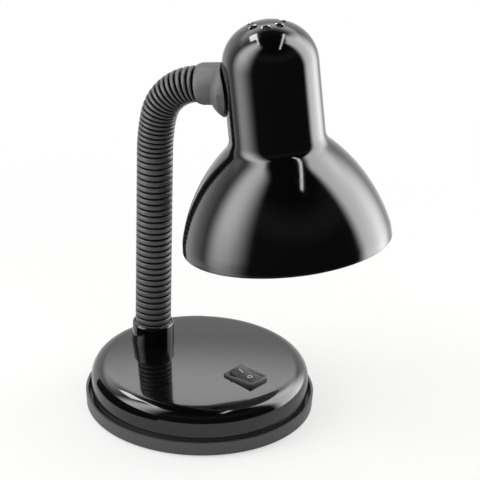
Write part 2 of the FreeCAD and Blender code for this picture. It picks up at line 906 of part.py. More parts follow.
# Collar with the saddle cup, made round Z and laid along X
def neck_collar():
    collar = turned(
        (0, 0),
        (collar_mouth_radius, 0),
        (collar_radius, collar_chamfer),
        (collar_radius, collar_length),
        (0, collar_length),
    )
    rim_end = neck_reach
    across, along = cup_slope()
    bulge_middle = (
        (cup_start_radius + cup_rim_radius) / 2 + cup_bulge * along,
        (cup_start + cup_shoulder) / 2 - cup_bulge * across,
    )
    cup = turned(
        (0, cup_start),
        (cup_start_radius, cup_start),
        (bulge_middle, (cup_rim_radius, cup_shoulder)),
        (cup_rim_radius, rim_end),
        (0, rim_end),
    )
    inner_start = cup_start + cup_wall / across
    inner_middle = (bulge_middle[0] - cup_wall * along, bulge_middle[1] + cup_wall * across)
    hollow = turned(
        (0, inner_start),
        (cup_start_radius, inner_start),
        (inner_middle, (cup_rim_radius - cup_wall, cup_shoulder)),
        (cup_rim_radius - cup_wall, rim_end + cut_overrun),
        (0, rim_end + cut_overrun),
    )
    drop = at(cup_drop, 0, 0)
    hub = rod(hub_radius, cup_start, hub_end)
    saddle = Part.makeCylinder(
        shade_neck_radius + cup_gap,
        2 * neck_reach,
        V(-neck_reach, 0, neck_reach),
        ALONG_X,
    )
    body = collar.fuse(moved(cup, drop)).cut(moved(hollow, drop)).cut(saddle).fuse(hub)
    bores = [
        rod(socket_bore, -cut_overrun, collar_bore_depth),
        rod(conduit_radius + seat_gap, 0, collar_pocket_depth),
        rod(thread_radius + thread_gap, collar_pocket_depth - cut_overrun, hub_end + cut_overrun),
    ]
    return moved(lie_along_x(cut_all(body, bores).removeSplitter()), collar_place)


def cup_slope():
    """Direction along the cup's flank, as shares of (radius, height)."""
    across = cup_rim_radius - cup_start_radius
    along = cup_shoulder - cup_start
    length = math.hypot(across, along)
    return (across / length, along / length)


def swivel_nipple():
    nipple = tube(thread_radius, conduit_bore, collar_pocket_depth, nipple_end)
    return moved(lie_along_x(nipple), collar_place)


def swivel_washer():
    low = swivel_washer_low
    washer = tube(spring_washer_radius, thread_radius + seat_gap, low, low + spring_washer_thickness)
    return moved(lie_along_x(washer), collar_place)


def swivel_nut():
    nut = hex_nut(thread_radius + thread_gap, swivel_nut_low, swivel_nut_low + swivel_nut_height)
    return moved(lie_along_x(nut), collar_place)


# Head, made round the shade's own axis with the mouth at zero and the collar towards -X
def shade_profile(inset, low):
    """Solid bell at a depth below the shade's outer face."""
    bowl_centre = (
        mouth_radius - mouth_band_draft - bowl_radius * cosine(bowl_lean),
        mouth_band - bowl_radius * sine(bowl_lean),
    )
    fillet_across = shade_neck_radius + shade_neck_fillet - bowl_centre[0]
    fillet_reach = bowl_radius + shade_neck_fillet
    fillet_along = math.sqrt(fillet_reach ** 2 - fillet_across ** 2)
    fillet_centre = (shade_neck_radius + shade_neck_fillet, bowl_centre[1] + fillet_along)
    meet_angle = math.degrees(math.atan2(fillet_along, fillet_across))
    bowl_start = on_arc(bowl_centre, bowl_radius - inset, bowl_lean)
    bowl_middle = on_arc(bowl_centre, bowl_radius - inset, (bowl_lean + meet_angle) / 2)
    bowl_end = on_arc(bowl_centre, bowl_radius - inset, meet_angle)
    fillet_middle = on_arc(fillet_centre, shade_neck_fillet + inset, (HALF_TURN + meet_angle + HALF_TURN) / 2)
    fillet_end = (shade_neck_radius - inset, fillet_centre[1])
    shoulder_centre = (shade_neck_radius - dome_shoulder, dome_start)
    shoulder_middle = on_arc(shoulder_centre, dome_shoulder - inset, dome_shoulder_turn / 2)
    shoulder_end = on_arc(shoulder_centre, dome_shoulder - inset, dome_shoulder_turn)
    crown_middle = on_arc((0, dome_centre()), dome_radius() - inset, (QUARTER_TURN + dome_shoulder_turn) / 2)
    return turned(
        (0, low),
        (mouth_radius - inset, low),
        bowl_start,
        (bowl_middle, bowl_end),
        (fillet_middle, fillet_end),
        (shade_neck_radius - inset, dome_start),
        (shoulder_middle, shoulder_end),
        (crown_middle, (0, dome_centre() + dome_radius() - inset)),
    )


def dome_radius():
    return dome_shoulder + (shade_neck_radius - dome_shoulder) / cosine(dome_shoulder_turn)


def dome_centre():
    return dome_start - (shade_neck_radius - dome_shoulder) * math.tan(math.radians(dome_shoulder_turn))


def shade():
    shell = shade_profile(0, 0).cut(shade_profile(shade_wall, -cut_overrun))
    hem_inner = mouth_radius - hem_width
    hem = turned(
        (hem_inner, 0),
        (mouth_radius - shade_wall / 2, 0),
        (mouth_radius - shade_wall / 2, hem_height + hem_width),
        (mouth_radius - shade_wall, hem_height + hem_width),
        (hem_inner, hem_height),
    )
    shell = shell.fuse(hem.common(shade_profile(shade_wall / 2, 0)))
    lean = math.degrees(math.asin(vent_circle / dome_radius()))
    surface = dome_radius()
    for step in range(vent_count):
        turn = Turn(ALONG_Z, vent_first_angle + step * FULL_TURN / vent_count).multiply(Turn(ALONG_Y, lean))
        hole = rod(vent_radius, surface - shade_wall - cut_overrun, surface + cut_overrun)
        flare = Part.makeCone(
            vent_radius,
            vent_radius + vent_chamfer + cut_overrun,
            vent_chamfer + cut_overrun,
            V(0, 0, surface - vent_chamfer),
        )
        shell = shell.cut(moved(hole.fuse(flare), Place(V(0, 0, dome_centre()), turn)))
    side_hole = lie_along_x(rod(thread_radius + hole_gap, -shade_neck_radius - cut_overrun, 0))
    return moved(shell.cut(moved(side_hole, at(0, 0, pivot_height))).removeSplitter(), head_place)


def saddle_washer():
    face = hub_end + swivel_gap
    body = tube(saddle_radius, thread_radius + hole_gap, face, neck_reach - saddle_radius)
    body = lie_along_x(body)
    neck = rod(shade_neck_radius + seat_gap, -neck_reach, neck_reach)
    return moved(body.cut(moved(neck, at(neck_reach, 0, 0))), collar_place)


def lamp_bracket():
    top = bracket_arm_height + bracket_thickness
    face = -neck_reach + bracket_face
    leg = Part.makeBox(
        bracket_thickness,
        bracket_width,
        top - bracket_foot,
        V(face, -bracket_width / 2, bracket_foot),
    )
    arm = Part.makeBox(
        bracket_arm_end - face,
        bracket_width,
        bracket_thickness,
        V(face, -bracket_width / 2, bracket_arm_height),
    )
    body = leg.fuse(arm).removeSplitter()
    corner = [edge for edge in body.Edges if is_outer_corner(edge, face, top)]
    body = body.makeFillet(bracket_thickness, corner)
    far_face = face + bracket_thickness
    side_hole = lie_along_x(rod(thread_radius + hole_gap, face - cut_overrun, far_face + cut_overrun))
    body = body.cut(moved(side_hole, at(0, 0, pivot_height)))
    holes = [
        rod(thread_radius + hole_gap, bracket_arm_height - cut_overrun, top + cut_overrun),
        moved(
            rod(bracket_wire_hole, bracket_arm_height - cut_overrun, top + cut_overrun),
            at(head_wire_x(), 0, 0),
        ),
    ]
    return moved(cut_all(body, holes), head_place)


def is_outer_corner(edge, face, top):
    box = edge.BoundBox
    on_face = box.XMax < face + seat_gap
    return on_face and box.ZMin > top - seat_gap and box.YLength > bracket_width - seat_gap


def head_wire_x():
    """How far from the shade's axis the two wires rise past the lampholder."""
    return -neck_reach + cable_end + head_wire_bend + seat_gap


def holder_skirt():
    straight = holder_radius - holder_wall
    body = turned(
        (holder_lip_radius, holder_low),
        (holder_radius, holder_low),
        (holder_radius, holder_split),
        (straight, holder_split),
        (straight, holder_low + holder_wall),
        (holder_lip_radius, holder_low + holder_wall),
    )
    return moved(body, head_place)


def holder_cap():
    inner = holder_radius - holder_wall
    body = turned(
        (inner, holder_split),
        (holder_radius, holder_split),
        (holder_radius, holder_shoulder),
        (holder_crown_radius, holder_crown),
        (holder_crown_radius, bracket_arm_height),
        (thread_radius + thread_gap, bracket_arm_height),
        (thread_radius + thread_gap, holder_crown - holder_wall),
        (inner, holder_shoulder),
    )
    return moved(body, head_place)


def holder_insert():
    outer = holder_radius - holder_wall - seat_gap
    body = rod(outer, insert_low, insert_low + insert_thickness)
    for sign in (-1, 1):
        hole = rod(wire_radius + hole_gap, insert_low - cut_overrun, holder_shoulder)
        body = body.cut(moved(hole, at(0, sign * contact_length / 2, 0)))
    return moved(body, head_place)


def rolled(radius, low, high, close_up):
    """Solid with the rounded thread of a screw cap, drawn as rings, up to a flat end."""
    points = []
    count = int((high - low) / rolled_pitch)
    for step in range(count):
        foot = low + step * rolled_pitch
        points.append((radius - rolled_depth, foot))
        points.append((radius, foot + rolled_pitch / 2))
    points.append((radius - rolled_depth, low + count * rolled_pitch))
    points.append((radius - rolled_depth, close_up))
    return turned((0, low), *points, (0, close_up))


def holder_shell():
    """Threaded brass shell that the bulb screws into."""
    inner = rolled(bulb_cap_radius + shell_gap, bulb_cap_low, bulb_cap_high, insert_low + cut_overrun)
    outer = rolled(bulb_cap_radius + shell_gap + shell_wall, bulb_cap_low, bulb_cap_high, insert_low)
    band = rod(holder_radius, shell_low, insert_low)
    return moved(outer.common(band).cut(inner), head_place)


def holder_contact():
    """Spring tongue that meets the tip of the bulb."""
    low = insert_low - contact_thickness
    base = slab(contact_length, contact_width, low, insert_low)
    tip = rod(contact_width / 2, bulb_tip + seat_gap, insert_low)
    return moved(base.fuse(tip).removeSplitter(), head_place)


def holder_nipple():
    top = bracket_arm_height + bracket_thickness + holder_nut_height + holder_nipple_proud
    low = bracket_arm_height - holder_nipple_depth
    return moved(tube(thread_radius, conduit_bore, low, top), head_place)


def holder_nut():
    low = bracket_arm_height + bracket_thickness
    return moved(hex_nut(thread_radius + thread_gap, low, low + holder_nut_height), head_place)


def head_wires():
    """Two wires from the cable's end, up past the lampholder and down through its nipple."""
    rise_x = head_wire_x()
    solids = []
    for sign in (-1, 1):
        side = sign * wire_split
        start = V(-neck_reach + cable_end + seat_gap, side, pivot_height)
        corner = start + V(head_wire_bend, 0, 0)
        up_start = corner + V(0, 0, head_wire_bend)
        up_end = V(rise_x, side, head_wire_top)
        over = V(rise_x / 2, side, head_wire_top - rise_x / 2)
        down = V(0, side, head_wire_top)
        end = V(0, side, insert_low + insert_thickness + seat_gap)
        short = head_wire_bend * (1 - cosine(QUARTER_TURN / 2))
        bend_middle = corner + V(-short, 0, short)
        edges = [
            Part.Arc(start, bend_middle, up_start).toShape(),
            Part.makeLine(up_start, up_end),
            Part.Arc(up_end, over, down).toShape(),
            Part.makeLine(down, end),
        ]
        solids.append(sweep(wire_radius, edges))
    return moved(Part.makeCompound(solids), head_place)


def bulb_cap():
    outer = rolled(bulb_cap_radius, bulb_cap_low, bulb_cap_high, bulb_cap_high)
    inner = rolled(bulb_cap_radius - bulb_cap_wall, bulb_cap_low, bulb_cap_high, bulb_cap_high)
    shell = outer.cut(inner)
    insulator = Part.makeCone(
        bulb_cap_radius - rolled_depth,
        insulator_tip_radius,
        insulator_height,
        V(0, 0, bulb_cap_high),
    )
    tip = rod(bulb_tip_radius, bulb_cap_high + insulator_height, bulb_tip)
    return moved(union([shell, insulator, tip]), head_place)


def bulb_glass():
    globe_z = bulb_bottom + bulb_radius
    neck_end = bulb_cap_low + rolled_pitch
    neck = rod(bulb_neck_radius, globe_z, neck_end)
    outer = Part.makeSphere(bulb_radius, V(0, 0, globe_z)).fuse(neck)
    inner_radius = bulb_radius - bulb_wall
    inner = Part.makeSphere(inner_radius, V(0, 0, globe_z))
    inner = inner.fuse(rod(bulb_neck_radius - bulb_wall, globe_z, neck_end + cut_overrun))
    return moved(outer.removeSplitter().cut(inner), head_place)


# Nodes, each written to its own file
def write_node(name, shape):
    shape.exportStep("parts/" + name + ".step")
    solids = len(shape.Solids)
    print(f"{name:24s} solids {solids} volume {shape.Volume:10.1f} valid {shape.isValid()}")


os.makedirs("parts", exist_ok=True)
makers = [
    base_tray,
    base_pad,
    base_screws,
    ballast_weight,
    base_cover,
    cord_grommet,
    switch_housing,
    switch_rocker,
    switch_plunger,
    switch_blade,
    switch_terminals,
    terminal_block,
    block_screws,
    base_wires,
    neck_ferrule,
    ferrule_washer,
    ferrule_nut,
    lamp_cable,
    neck_collar,
    swivel_nipple,
    swivel_washer,
    swivel_nut,
    shade,
    saddle_washer,
    lamp_bracket,
    holder_skirt,
    holder_cap,
    holder_insert,
    holder_shell,
    holder_contact,
    holder_nipple,
    holder_nut,
    head_wires,
    bulb_cap,
    bulb_glass,
]
for maker in makers:
    write_node(maker.__name__, maker())
for number, (first_rib, last_rib) in enumerate(link_ribs(), 1):
    write_node(f"neck_sleeve_{number}", neck_sleeve(first_rib, last_rib))
    write_node(f"neck_conduit_{number}", neck_conduit(first_rib, last_rib))
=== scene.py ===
# %% [markdown]
# # A gooseneck desk lamp
# The lamp is a weighted base, a bendable neck in a ribbed sleeve, and a glossy steel bell.
# Its solid parts come from the CAD frame, which stays fixed. This lesson dresses them:
# skins that the eye sees are modelled again as smooth meshes, and every part gets a finish.
# All sizes are written in millimetres and turned into metres where a mesh is made.
# %% Load the fixed frame
import math

import bpy
from mathutils import Matrix, Vector


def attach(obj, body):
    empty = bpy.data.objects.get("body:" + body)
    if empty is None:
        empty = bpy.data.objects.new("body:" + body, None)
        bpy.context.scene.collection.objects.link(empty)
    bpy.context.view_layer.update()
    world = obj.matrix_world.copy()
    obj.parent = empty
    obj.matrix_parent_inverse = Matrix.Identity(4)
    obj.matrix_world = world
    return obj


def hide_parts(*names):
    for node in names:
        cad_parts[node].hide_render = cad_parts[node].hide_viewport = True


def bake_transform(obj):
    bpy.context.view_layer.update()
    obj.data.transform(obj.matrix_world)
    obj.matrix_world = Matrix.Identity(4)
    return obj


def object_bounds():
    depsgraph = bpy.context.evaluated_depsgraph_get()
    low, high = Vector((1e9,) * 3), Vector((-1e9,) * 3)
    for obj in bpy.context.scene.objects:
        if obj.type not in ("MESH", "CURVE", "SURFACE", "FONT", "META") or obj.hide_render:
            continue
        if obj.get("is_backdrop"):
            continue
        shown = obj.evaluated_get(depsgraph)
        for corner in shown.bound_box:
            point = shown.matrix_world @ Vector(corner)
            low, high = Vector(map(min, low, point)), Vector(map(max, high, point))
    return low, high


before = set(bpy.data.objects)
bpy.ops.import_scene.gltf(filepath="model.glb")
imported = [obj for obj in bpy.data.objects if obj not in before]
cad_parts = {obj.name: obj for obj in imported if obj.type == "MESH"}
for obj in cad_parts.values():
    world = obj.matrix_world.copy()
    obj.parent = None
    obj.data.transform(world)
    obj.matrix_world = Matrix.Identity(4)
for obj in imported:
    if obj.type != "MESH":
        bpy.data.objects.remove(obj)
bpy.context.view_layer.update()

# %% [markdown]
# ## Camera
# The lamp was photographed from far away with a long lens, a little from above and from the
# side of the switch. A matrix of three axes places the camera exactly: right, up and backwards.
# Its small roll keeps the lamp as upright as in the picture.
# %% Place the camera
MM = 0.001
LAMP_TO_CAMERA = (1020.1, -1202.9, 873.0)
VIEW_HEADING = (-0.6361, 0.7716)
VIEW_PITCH = math.radians(25.9)
VIEW_ROLL = math.radians(-1.35)
FILM_WIDTH = 36
FOCAL_LENGTH = 226.4

ahead = Vector((
    VIEW_HEADING[0] * math.cos(VIEW_PITCH),
    VIEW_HEADING[1] * math.cos(VIEW_PITCH),
    -math.sin(VIEW_PITCH),
)).normalized()
level_right = ahead.cross(Vector((0, 0, 1))).normalized()
level_up = level_right.cross(ahead)
right = level_right * math.cos(VIEW_ROLL) - level_up * math.sin(VIEW_ROLL)
up = level_right * math.sin(VIEW_ROLL) + level_up * math.cos(VIEW_ROLL)


def axes_at(x_axis, y_axis, z_axis, point):
    """Matrix that puts a piece's own axes along three directions, at a point in metres."""
    matrix = Matrix((x_axis, y_axis, z_axis)).transposed().to_4x4()
    matrix.translation = point
    return matrix


lens = bpy.data.cameras.new("long_lens")
lens.sensor_width = FILM_WIDTH
lens.lens = FOCAL_LENGTH
camera = bpy.data.objects.new("camera", lens)
bpy.context.scene.collection.objects.link(camera)
camera.matrix_world = axes_at(right, up, -ahead, Vector(LAMP_TO_CAMERA) * MM)
bpy.context.scene.camera = camera
print("camera at", [round(x, 3) for x in camera.location], "metres")

# %% [markdown]
# ## Colours and nodes
# A colour picked from a chart is an sRGB hex value, but a shader counts light in linear values.
# One function turns one into the other. Another adds a node with its settings and its links,
# so that each finish below reads like a short recipe.
# %% Helpers for colours and nodes
def paint(hex_value, alpha=1.0):
    """Linear colour of an sRGB hex value such as "c3c6c8"."""
    linear = []
    for start in (0, 2, 4):
        value = int(hex_value[start:start + 2], 16) / 255
        linear.append(value / 12.92 if value <= 0.04045 else ((value + 0.055) / 1.055) ** 2.4)
    return (*linear, alpha)


def add(tree, kind, settings=None, links=None):
    """Adds a node. Settings are properties or values of sockets, links say what feeds a socket."""
    node = tree.nodes.new(kind)
    for name, value in (settings or {}).items():
        if isinstance(name, str) and hasattr(node, name):
            setattr(node, name, value)
        else:
            node.inputs[name].default_value = value
    for name, source in (links or {}).items():
        tree.links.new(source, node.inputs[name])
    return node


print("the grey 808080 is", round(paint("808080")[0], 3), "in linear values")

# %% [markdown]
# Each finish starts from Blender's Principled shader with the typical values of its material. Most
# then get a grain: noise whose lumps have a real size, which a Bump node turns into a fine relief.
# Real lumps of that size would cost far too many faces.
# %% Start a finish and give it a grain
def finish(name, colour, roughness, metallic=0.0, ior=1.5, **more):
    """Starts a material: its shader and the place on the object that its patterns read."""
    material = bpy.data.materials.new(name)
    material.use_nodes = True
    tree = material.node_tree
    shader = tree.nodes["Principled BSDF"]
    shader.inputs["Base Color"].default_value = paint(colour)
    shader.inputs["Roughness"].default_value = roughness
    shader.inputs["Metallic"].default_value = metallic
    shader.inputs["IOR"].default_value = ior
    for socket, value in more.items():
        shader.inputs[socket.replace("_", " ")].default_value = value
    place = add(tree, "ShaderNodeTexCoord").outputs["Object"]
    return material, tree, shader, place


def grain(tree, shader, place, size_mm, depth_mm, detail=2.0):
    """Fine relief of a surface: noise whose lumps have a size in millimetres, raised by a depth."""
    noise = add(
        tree,
        "ShaderNodeTexNoise",
        {"Scale": 1 / (size_mm * MM), "Detail": detail},
        {"Vector": place},
    )
    bump = add(
        tree,
        "ShaderNodeBump",
        {"Strength": 1.0, "Distance": depth_mm * MM},
        {"Height": noise.outputs["Fac"]},
    )
    tree.links.new(bump.outputs["Normal"], shader.inputs["Normal"])
    return noise.outputs["Fac"]


print("finish and grain ready")

# %% [markdown]
# No real surface is quite even. The noise that raises the grain can also move the roughness or the
# colour a little, which the eye takes for flow, wear or handling.
# %% Let the grain vary a finish
# nearly all of a noise's values lie between these two
NOISE_RANGE = (0.3, 0.7)
# where a two-tone pattern is all dark and all light
TONE_EDGES = (0.35, 0.65)


def between(tree, socket, factor, low, high):
    """Lets a pattern move a shader's value between two limits."""
    limits = dict(zip(("From Min", "From Max", "To Min", "To Max"), (*NOISE_RANGE, low, high)))
    span = add(tree, "ShaderNodeMapRange", limits, {"Value": factor})
    tree.links.new(span.outputs["Result"], socket)


def two_tone(tree, shader, factor, dark, light):
    """Lets a pattern move a base colour between two near shades."""
    tones = add(tree, "ShaderNodeValToRGB", links={"Fac": factor})
    for element, edge, shade in zip(tones.color_ramp.elements, TONE_EDGES, (dark, light)):
        element.position = edge
        element.color = paint(shade)
    tree.links.new(tones.outputs["Color"], shader.inputs["Base Color"])


print("noise between", *NOISE_RANGE, "is spread over a finish's limits")

# %% [markdown]
# ## Black lacquer and polished plastic
# The bell is spun steel under stoved black enamel, and the base's cover is moulded from ABS in a
# polished tool. Both are near black and very smooth, so what shows is what they mirror. The
# enamel flows a little while it is stoved, which leaves waves several millimetres long.
# %% Gloss finishes
# stoved enamel: deep and wet, its mirror images slightly wavy
shade_black, tree, shader, place = finish("stoved_black_enamel", "050506", 0.08, ior=1.6)
waves = grain(tree, shader, place, 9.0, 0.004)
between(tree, shader.inputs["Roughness"], waves, 0.06, 0.1)

# the same enamel in white, sprayed thinner: an even satin that throws the light down
shade_white, tree, shader, place = finish("stoved_white_enamel", "e6e5e0", 0.35, ior=1.55)
grain(tree, shader, place, 3.0, 0.01)

# ABS from a polished tool: as bright a mirror, with the longer waves of a moulding that shrank
cover_black, tree, shader, place = finish("polished_black_abs", "060607", 0.07, ior=1.54)
waves = grain(tree, shader, place, 14.0, 0.005)
between(tree, shader.inputs["Roughness"], waves, 0.05, 0.09)
print("gloss finishes:", shade_black.name, shade_white.name, cover_black.name)

# %% [markdown]
# ## Satin plastics
# The neck's sleeve is soft PVC, grey with a satin sheen on its crests. Its grooves get a near-black
# copy of the same PVC as painted shade. Collar and tray are ABS from an etched tool, whose grain of
# about a third of a millimetre scatters the light in the same way.
# %% Satin finishes
# soft PVC on the crests: grey with a broad, soft sheen
sleeve_grey, tree, shader, place = finish("satin_soft_pvc", "454546", 0.42, ior=1.53)
lumps = grain(tree, shader, place, 0.5, 0.02)
two_tone(tree, shader, lumps, "404041", "4b4b4c")

# painted shade in the grooves: a copy of the same PVC, dull and nearly black
groove_painted_shade, tree, shader, place = finish("soft_pvc_painted_groove_shade", "0d0d0d", 0.6, ior=1.5)
grain(tree, shader, place, 0.5, 0.02)

# ABS from an etched tool: an even grey without mirror images
collar_grey, tree, shader, place = finish("etched_grey_abs", "4a4a4b", 0.48, ior=1.54)
lumps = grain(tree, shader, place, 0.35, 0.01)
between(tree, shader.inputs["Roughness"], lumps, 0.46, 0.54)

# the same for the tray, darker and a little smoother, so that its lip catches a line of light
tray_grey, tree, shader, place = finish("etched_dark_abs", "3d3d3e", 0.4, ior=1.54)
lumps = grain(tree, shader, place, 0.35, 0.015)
between(tree, shader.inputs["Roughness"], lumps, 0.36, 0.44)

# nylon from an etched tool: black with a fine dull grain
frame_black, tree, shader, place = finish("etched_black_nylon", "101011", 0.45, ior=1.53)
grain(tree, shader, place, 0.3, 0.012)
print("satin finishes:", sleeve_grey.name, collar_grey.name, tray_grey.name, frame_black.name)

# %% [markdown]
# ## Rubber, phenolic, nylon and ceramic
# Under the base and inside the lamp each material was chosen for its work: foam rubber so that the
# base grips the table, nylon and steatite to insulate, and phenolic to stand the bulb's heat.
# %% Finishes of the inner parts
# foam rubber: open cells that swallow the light and show as fine pits
pad_black, tree, shader, place = finish("foam_rubber", "1d1d1f", 0.95)
cells = add(tree, "ShaderNodeTexVoronoi", {"Scale": 1 / (0.8 * MM)}, {"Vector": place}).outputs["Distance"]
pits = add(tree, "ShaderNodeBump", {"Strength": 0.8, "Distance": 0.3 * MM}, {"Height": cells})
tree.links.new(pits.outputs["Normal"], shader.inputs["Normal"])

# moulded rubber: dull, slightly uneven
grommet_black, tree, shader, place = finish("moulded_black_rubber", "161617", 0.6)
grain(tree, shader, place, 0.6, 0.02)

# phenolic, pressed hot: a hard brown-black shine with faint clouds where it flowed
bakelite, tree, shader, place = finish("pressed_phenolic", "1a1614", 0.3, ior=1.63)
flow = grain(tree, shader, place, 2.5, 0.01)
two_tone(tree, shader, flow, "171311", "201a17")

# nylon without a dye: milky, because a little light goes into it
nylon_white, tree, shader, place = finish(
    "natural_nylon",
    "d9d5c8",
    0.4,
    ior=1.53,
    Subsurface_Weight=0.1,
    Subsurface_Scale=0.002,
)
grain(tree, shader, place, 1.2, 0.01)

# steatite, fired without a glaze: chalky, with fine specks
ceramic, tree, shader, place = finish("unglazed_steatite", "dcd6c8", 0.55, ior=1.6)
speck = grain(tree, shader, place, 0.4, 0.02)
two_tone(tree, shader, speck, "d2cbbb", "e3decf")
print("inner finishes:", pad_black.name, bakelite.name, nylon_white.name, ceramic.name)

# %% [markdown]
# ## Metals
# Screws, nuts and bracket are zinc-plated steel, bright with a faint cloudiness. The ballast is raw
# grey iron with a sand-cast skin. Shell and contacts are drawn brass, the bulb's cap is rolled tin-plate.
# %% Metal finishes
# zinc plating: bright, with cloudy patches
zinc, tree, shader, place = finish("zinc_plated_steel", "b9bcbf", 0.32, metallic=1.0)
clouds = grain(tree, shader, place, 1.5, 0.004)
between(tree, shader.inputs["Roughness"], clouds, 0.26, 0.4)

# grey iron from a sand mould: dark and grainy
iron, tree, shader, place = finish("sand_cast_iron", "5b5a58", 0.6, metallic=1.0)
sand = grain(tree, shader, place, 1.1, 0.12, detail=4.0)
two_tone(tree, shader, sand, "4a4947", "6a6865")

# steel that a press has laid bare: grey, finely scratched
bare_edge, tree, shader, place = finish("pressed_steel_edge", "8c8c8c", 0.35, metallic=1.0)
scratches = grain(tree, shader, place, 0.4, 0.003)
between(tree, shader.inputs["Roughness"], scratches, 0.28, 0.45)

# drawn brass: yellow, with slight stains from handling
brass, tree, shader, place = finish("drawn_brass", "c9a45c", 0.25, metallic=1.0)
stain = grain(tree, shader, place, 2.0, 0.004)
between(tree, shader.inputs["Roughness"], stain, 0.2, 0.34)

# rolled tin-plate: paler than zinc, smooth
tinplate, tree, shader, place = finish("rolled_tinplate", "cfcfca", 0.28, metallic=1.0)
stain = grain(tree, shader, place, 1.0, 0.006)
between(tree, shader.inputs["Roughness"], stain, 0.22, 0.36)
print("metal finishes made")

# %% [markdown]
# ## Cable, wires and glass
# Cable and wires wear soft PVC, which is smooth but not glossy. The bulb's glass is frosted inside:
# it lets the light through, but nothing can be seen in it.
# %% Cable and glass finishes
cable_black, tree, shader, place = finish("black_cable_pvc", "303030", 0.5)
grain(tree, shader, place, 0.8, 0.01)

wire_brown, tree, shader, place = finish("brown_wire_pvc", "5a3420", 0.4)
grain(tree, shader, place, 0.8, 0.01)

frosted, tree, shader, place = finish("frosted_glass", "f2f1ec", 0.45, ior=1.52, Transmission_Weight=0.75)
grain(tree, shader, place, 0.3, 0.004)
print("cable and glass finishes made")

# %% [markdown]
# ## The rocker's marks
# A rocker switch carries two stamped marks that anyone reads: a bar for on, at the end that stands
# up now, and a ring for off. They are drawn on the plastic itself by distances from two middles.
# %% Rocker finish with its marks
SWITCH_X = 35.0
MARK_OUT = 3.4
BAR = (2.9, 0.42)
RING_RADIUS = 1.3
RING_LINE = 0.42

# smooth nylon, which fingers keep clean: a soft shine that shows the marks
rocker_black, tree, shader, place = finish("smooth_black_nylon", "222223", 0.36, ior=1.53)


def measure(tree, operation, *values):
    """A Math node on sockets or numbers."""
    node = add(tree, "ShaderNodeMath", {"operation": operation})
    for index, value in enumerate(values):
        if isinstance(value, (int, float)):
            node.inputs[index].default_value = value
        else:
            tree.links.new(value, node.inputs[index])
    return node.outputs["Value"]


def centred(middle):
    """X and Y on the piece, counted from a middle on the lamp's X axis in millimetres."""
    moved = add(tree, "ShaderNodeMapping", {"Location": (-middle * MM, 0, 0)}, {"Vector": place})
    sides = add(tree, "ShaderNodeSeparateXYZ", links={"Vector": moved.outputs["Vector"]})
    return sides.outputs["X"], sides.outputs["Y"]


def within(value, limit):
    """1 where a value lies less than a limit in millimetres from zero, 0 elsewhere."""
    return measure(tree, "LESS_THAN", measure(tree, "ABSOLUTE", value), limit * MM)


squares = [measure(tree, "MULTIPLY", side, side) for side in centred(SWITCH_X + MARK_OUT)]
from_middle = measure(tree, "SQRT", measure(tree, "ADD", *squares))
from_ring = measure(tree, "SUBTRACT", from_middle, RING_RADIUS * MM)
along_bar, across_bar = centred(SWITCH_X - MARK_OUT)
on_bar = measure(tree, "MULTIPLY", within(along_bar, BAR[0] / 2), within(across_bar, BAR[1] / 2))
marked = measure(tree, "MAXIMUM", within(from_ring, RING_LINE / 2), on_bar)
# a Mix node of colours takes its factor on socket 0 and its two colours on 6 and 7
two_colours = {"data_type": "RGBA", 6: paint("2a2a2b"), 7: paint("dcdcd9")}
colours = add(tree, "ShaderNodeMix", two_colours, {0: marked})
tree.links.new(colours.outputs[2], shader.inputs["Base Color"])
grain(tree, shader, place, 0.6, 0.006)
print("rocker marks: bar and ring,", 2 * MARK_OUT, "mm apart")

# %% [markdown]
# ## Finishes for the frame's own parts
# Parts that sit inside keep their CAD shape and only get a finish. A table says which one. The many
# lengths of sleeve and steel neck aren't in it, because the loop after it knows them by name.
# %% Choose a finish for each part
NODE_FINISH = {
    "base_tray": tray_grey,
    "base_pad": pad_black,
    "base_screws": zinc,
    "ballast_weight": iron,
    "base_cover": cover_black,
    "cord_grommet": grommet_black,
    "switch_housing": frame_black,
    "switch_terminals": brass,
    "terminal_block": nylon_white,
    "block_screws": zinc,
    "base_wires": wire_brown,
    "neck_ferrule": zinc,
    "ferrule_washer": zinc,
    "ferrule_nut": zinc,
    "lamp_cable": cable_black,
    "switch_rocker": rocker_black,
    "switch_plunger": brass,
    "switch_blade": brass,
    "neck_collar": collar_grey,
    "swivel_nipple": zinc,
    "swivel_washer": zinc,
    "swivel_nut": zinc,
    "shade": shade_black,
    "saddle_washer": frame_black,
    "lamp_bracket": zinc,
    "holder_skirt": bakelite,
    "holder_cap": bakelite,
    "holder_insert": ceramic,
    "holder_shell": brass,
    "holder_contact": brass,
    "holder_nipple": zinc,
    "holder_nut": zinc,
    "head_wires": wire_brown,
    "bulb_cap": tinplate,
    "bulb_glass": frosted,
}
print("finishes chosen for", len(NODE_FINISH), "parts")

# %% [markdown]
# The triangles of the CAD parts are loose, so a Weld modifier joins them and an Edge Split keeps the
# real corners sharp while round faces shade smoothly.
# %% Dress the frame's parts
# points that lie closer than this are the same point
SEAM = 0.01 * MM
CORNER = math.radians(30)
for name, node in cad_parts.items():
    if name.startswith("neck_sleeve"):
        material = sleeve_grey
    elif name.startswith("neck_conduit"):
        material = zinc
    else:
        material = NODE_FINISH[name]
    for slot in node.material_slots:
        slot.material = material
    weld = node.modifiers.new("weld", "WELD")
    weld.merge_threshold = SEAM
    split = node.modifiers.new("corners", "EDGE_SPLIT")
    split.split_angle = CORNER
print("dressed", len(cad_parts), "nodes")

# %% [markdown]
# ## A way to draw turned pieces
# Bell, cover and sleeve are all round. By hand one adds a circle and pulls it up ring by ring:
# extrude, then scale. A script can do the same, but an operator acts on all that is selected, so
# these two functions come first: one clears the selection, the other makes a new one.
# %% Select pieces
def leave_all():
    """Goes back to object mode with nothing selected."""
    if bpy.context.object and bpy.context.object.mode != "OBJECT":
        bpy.ops.object.mode_set(mode="OBJECT")
    bpy.ops.object.select_all(action="DESELECT")


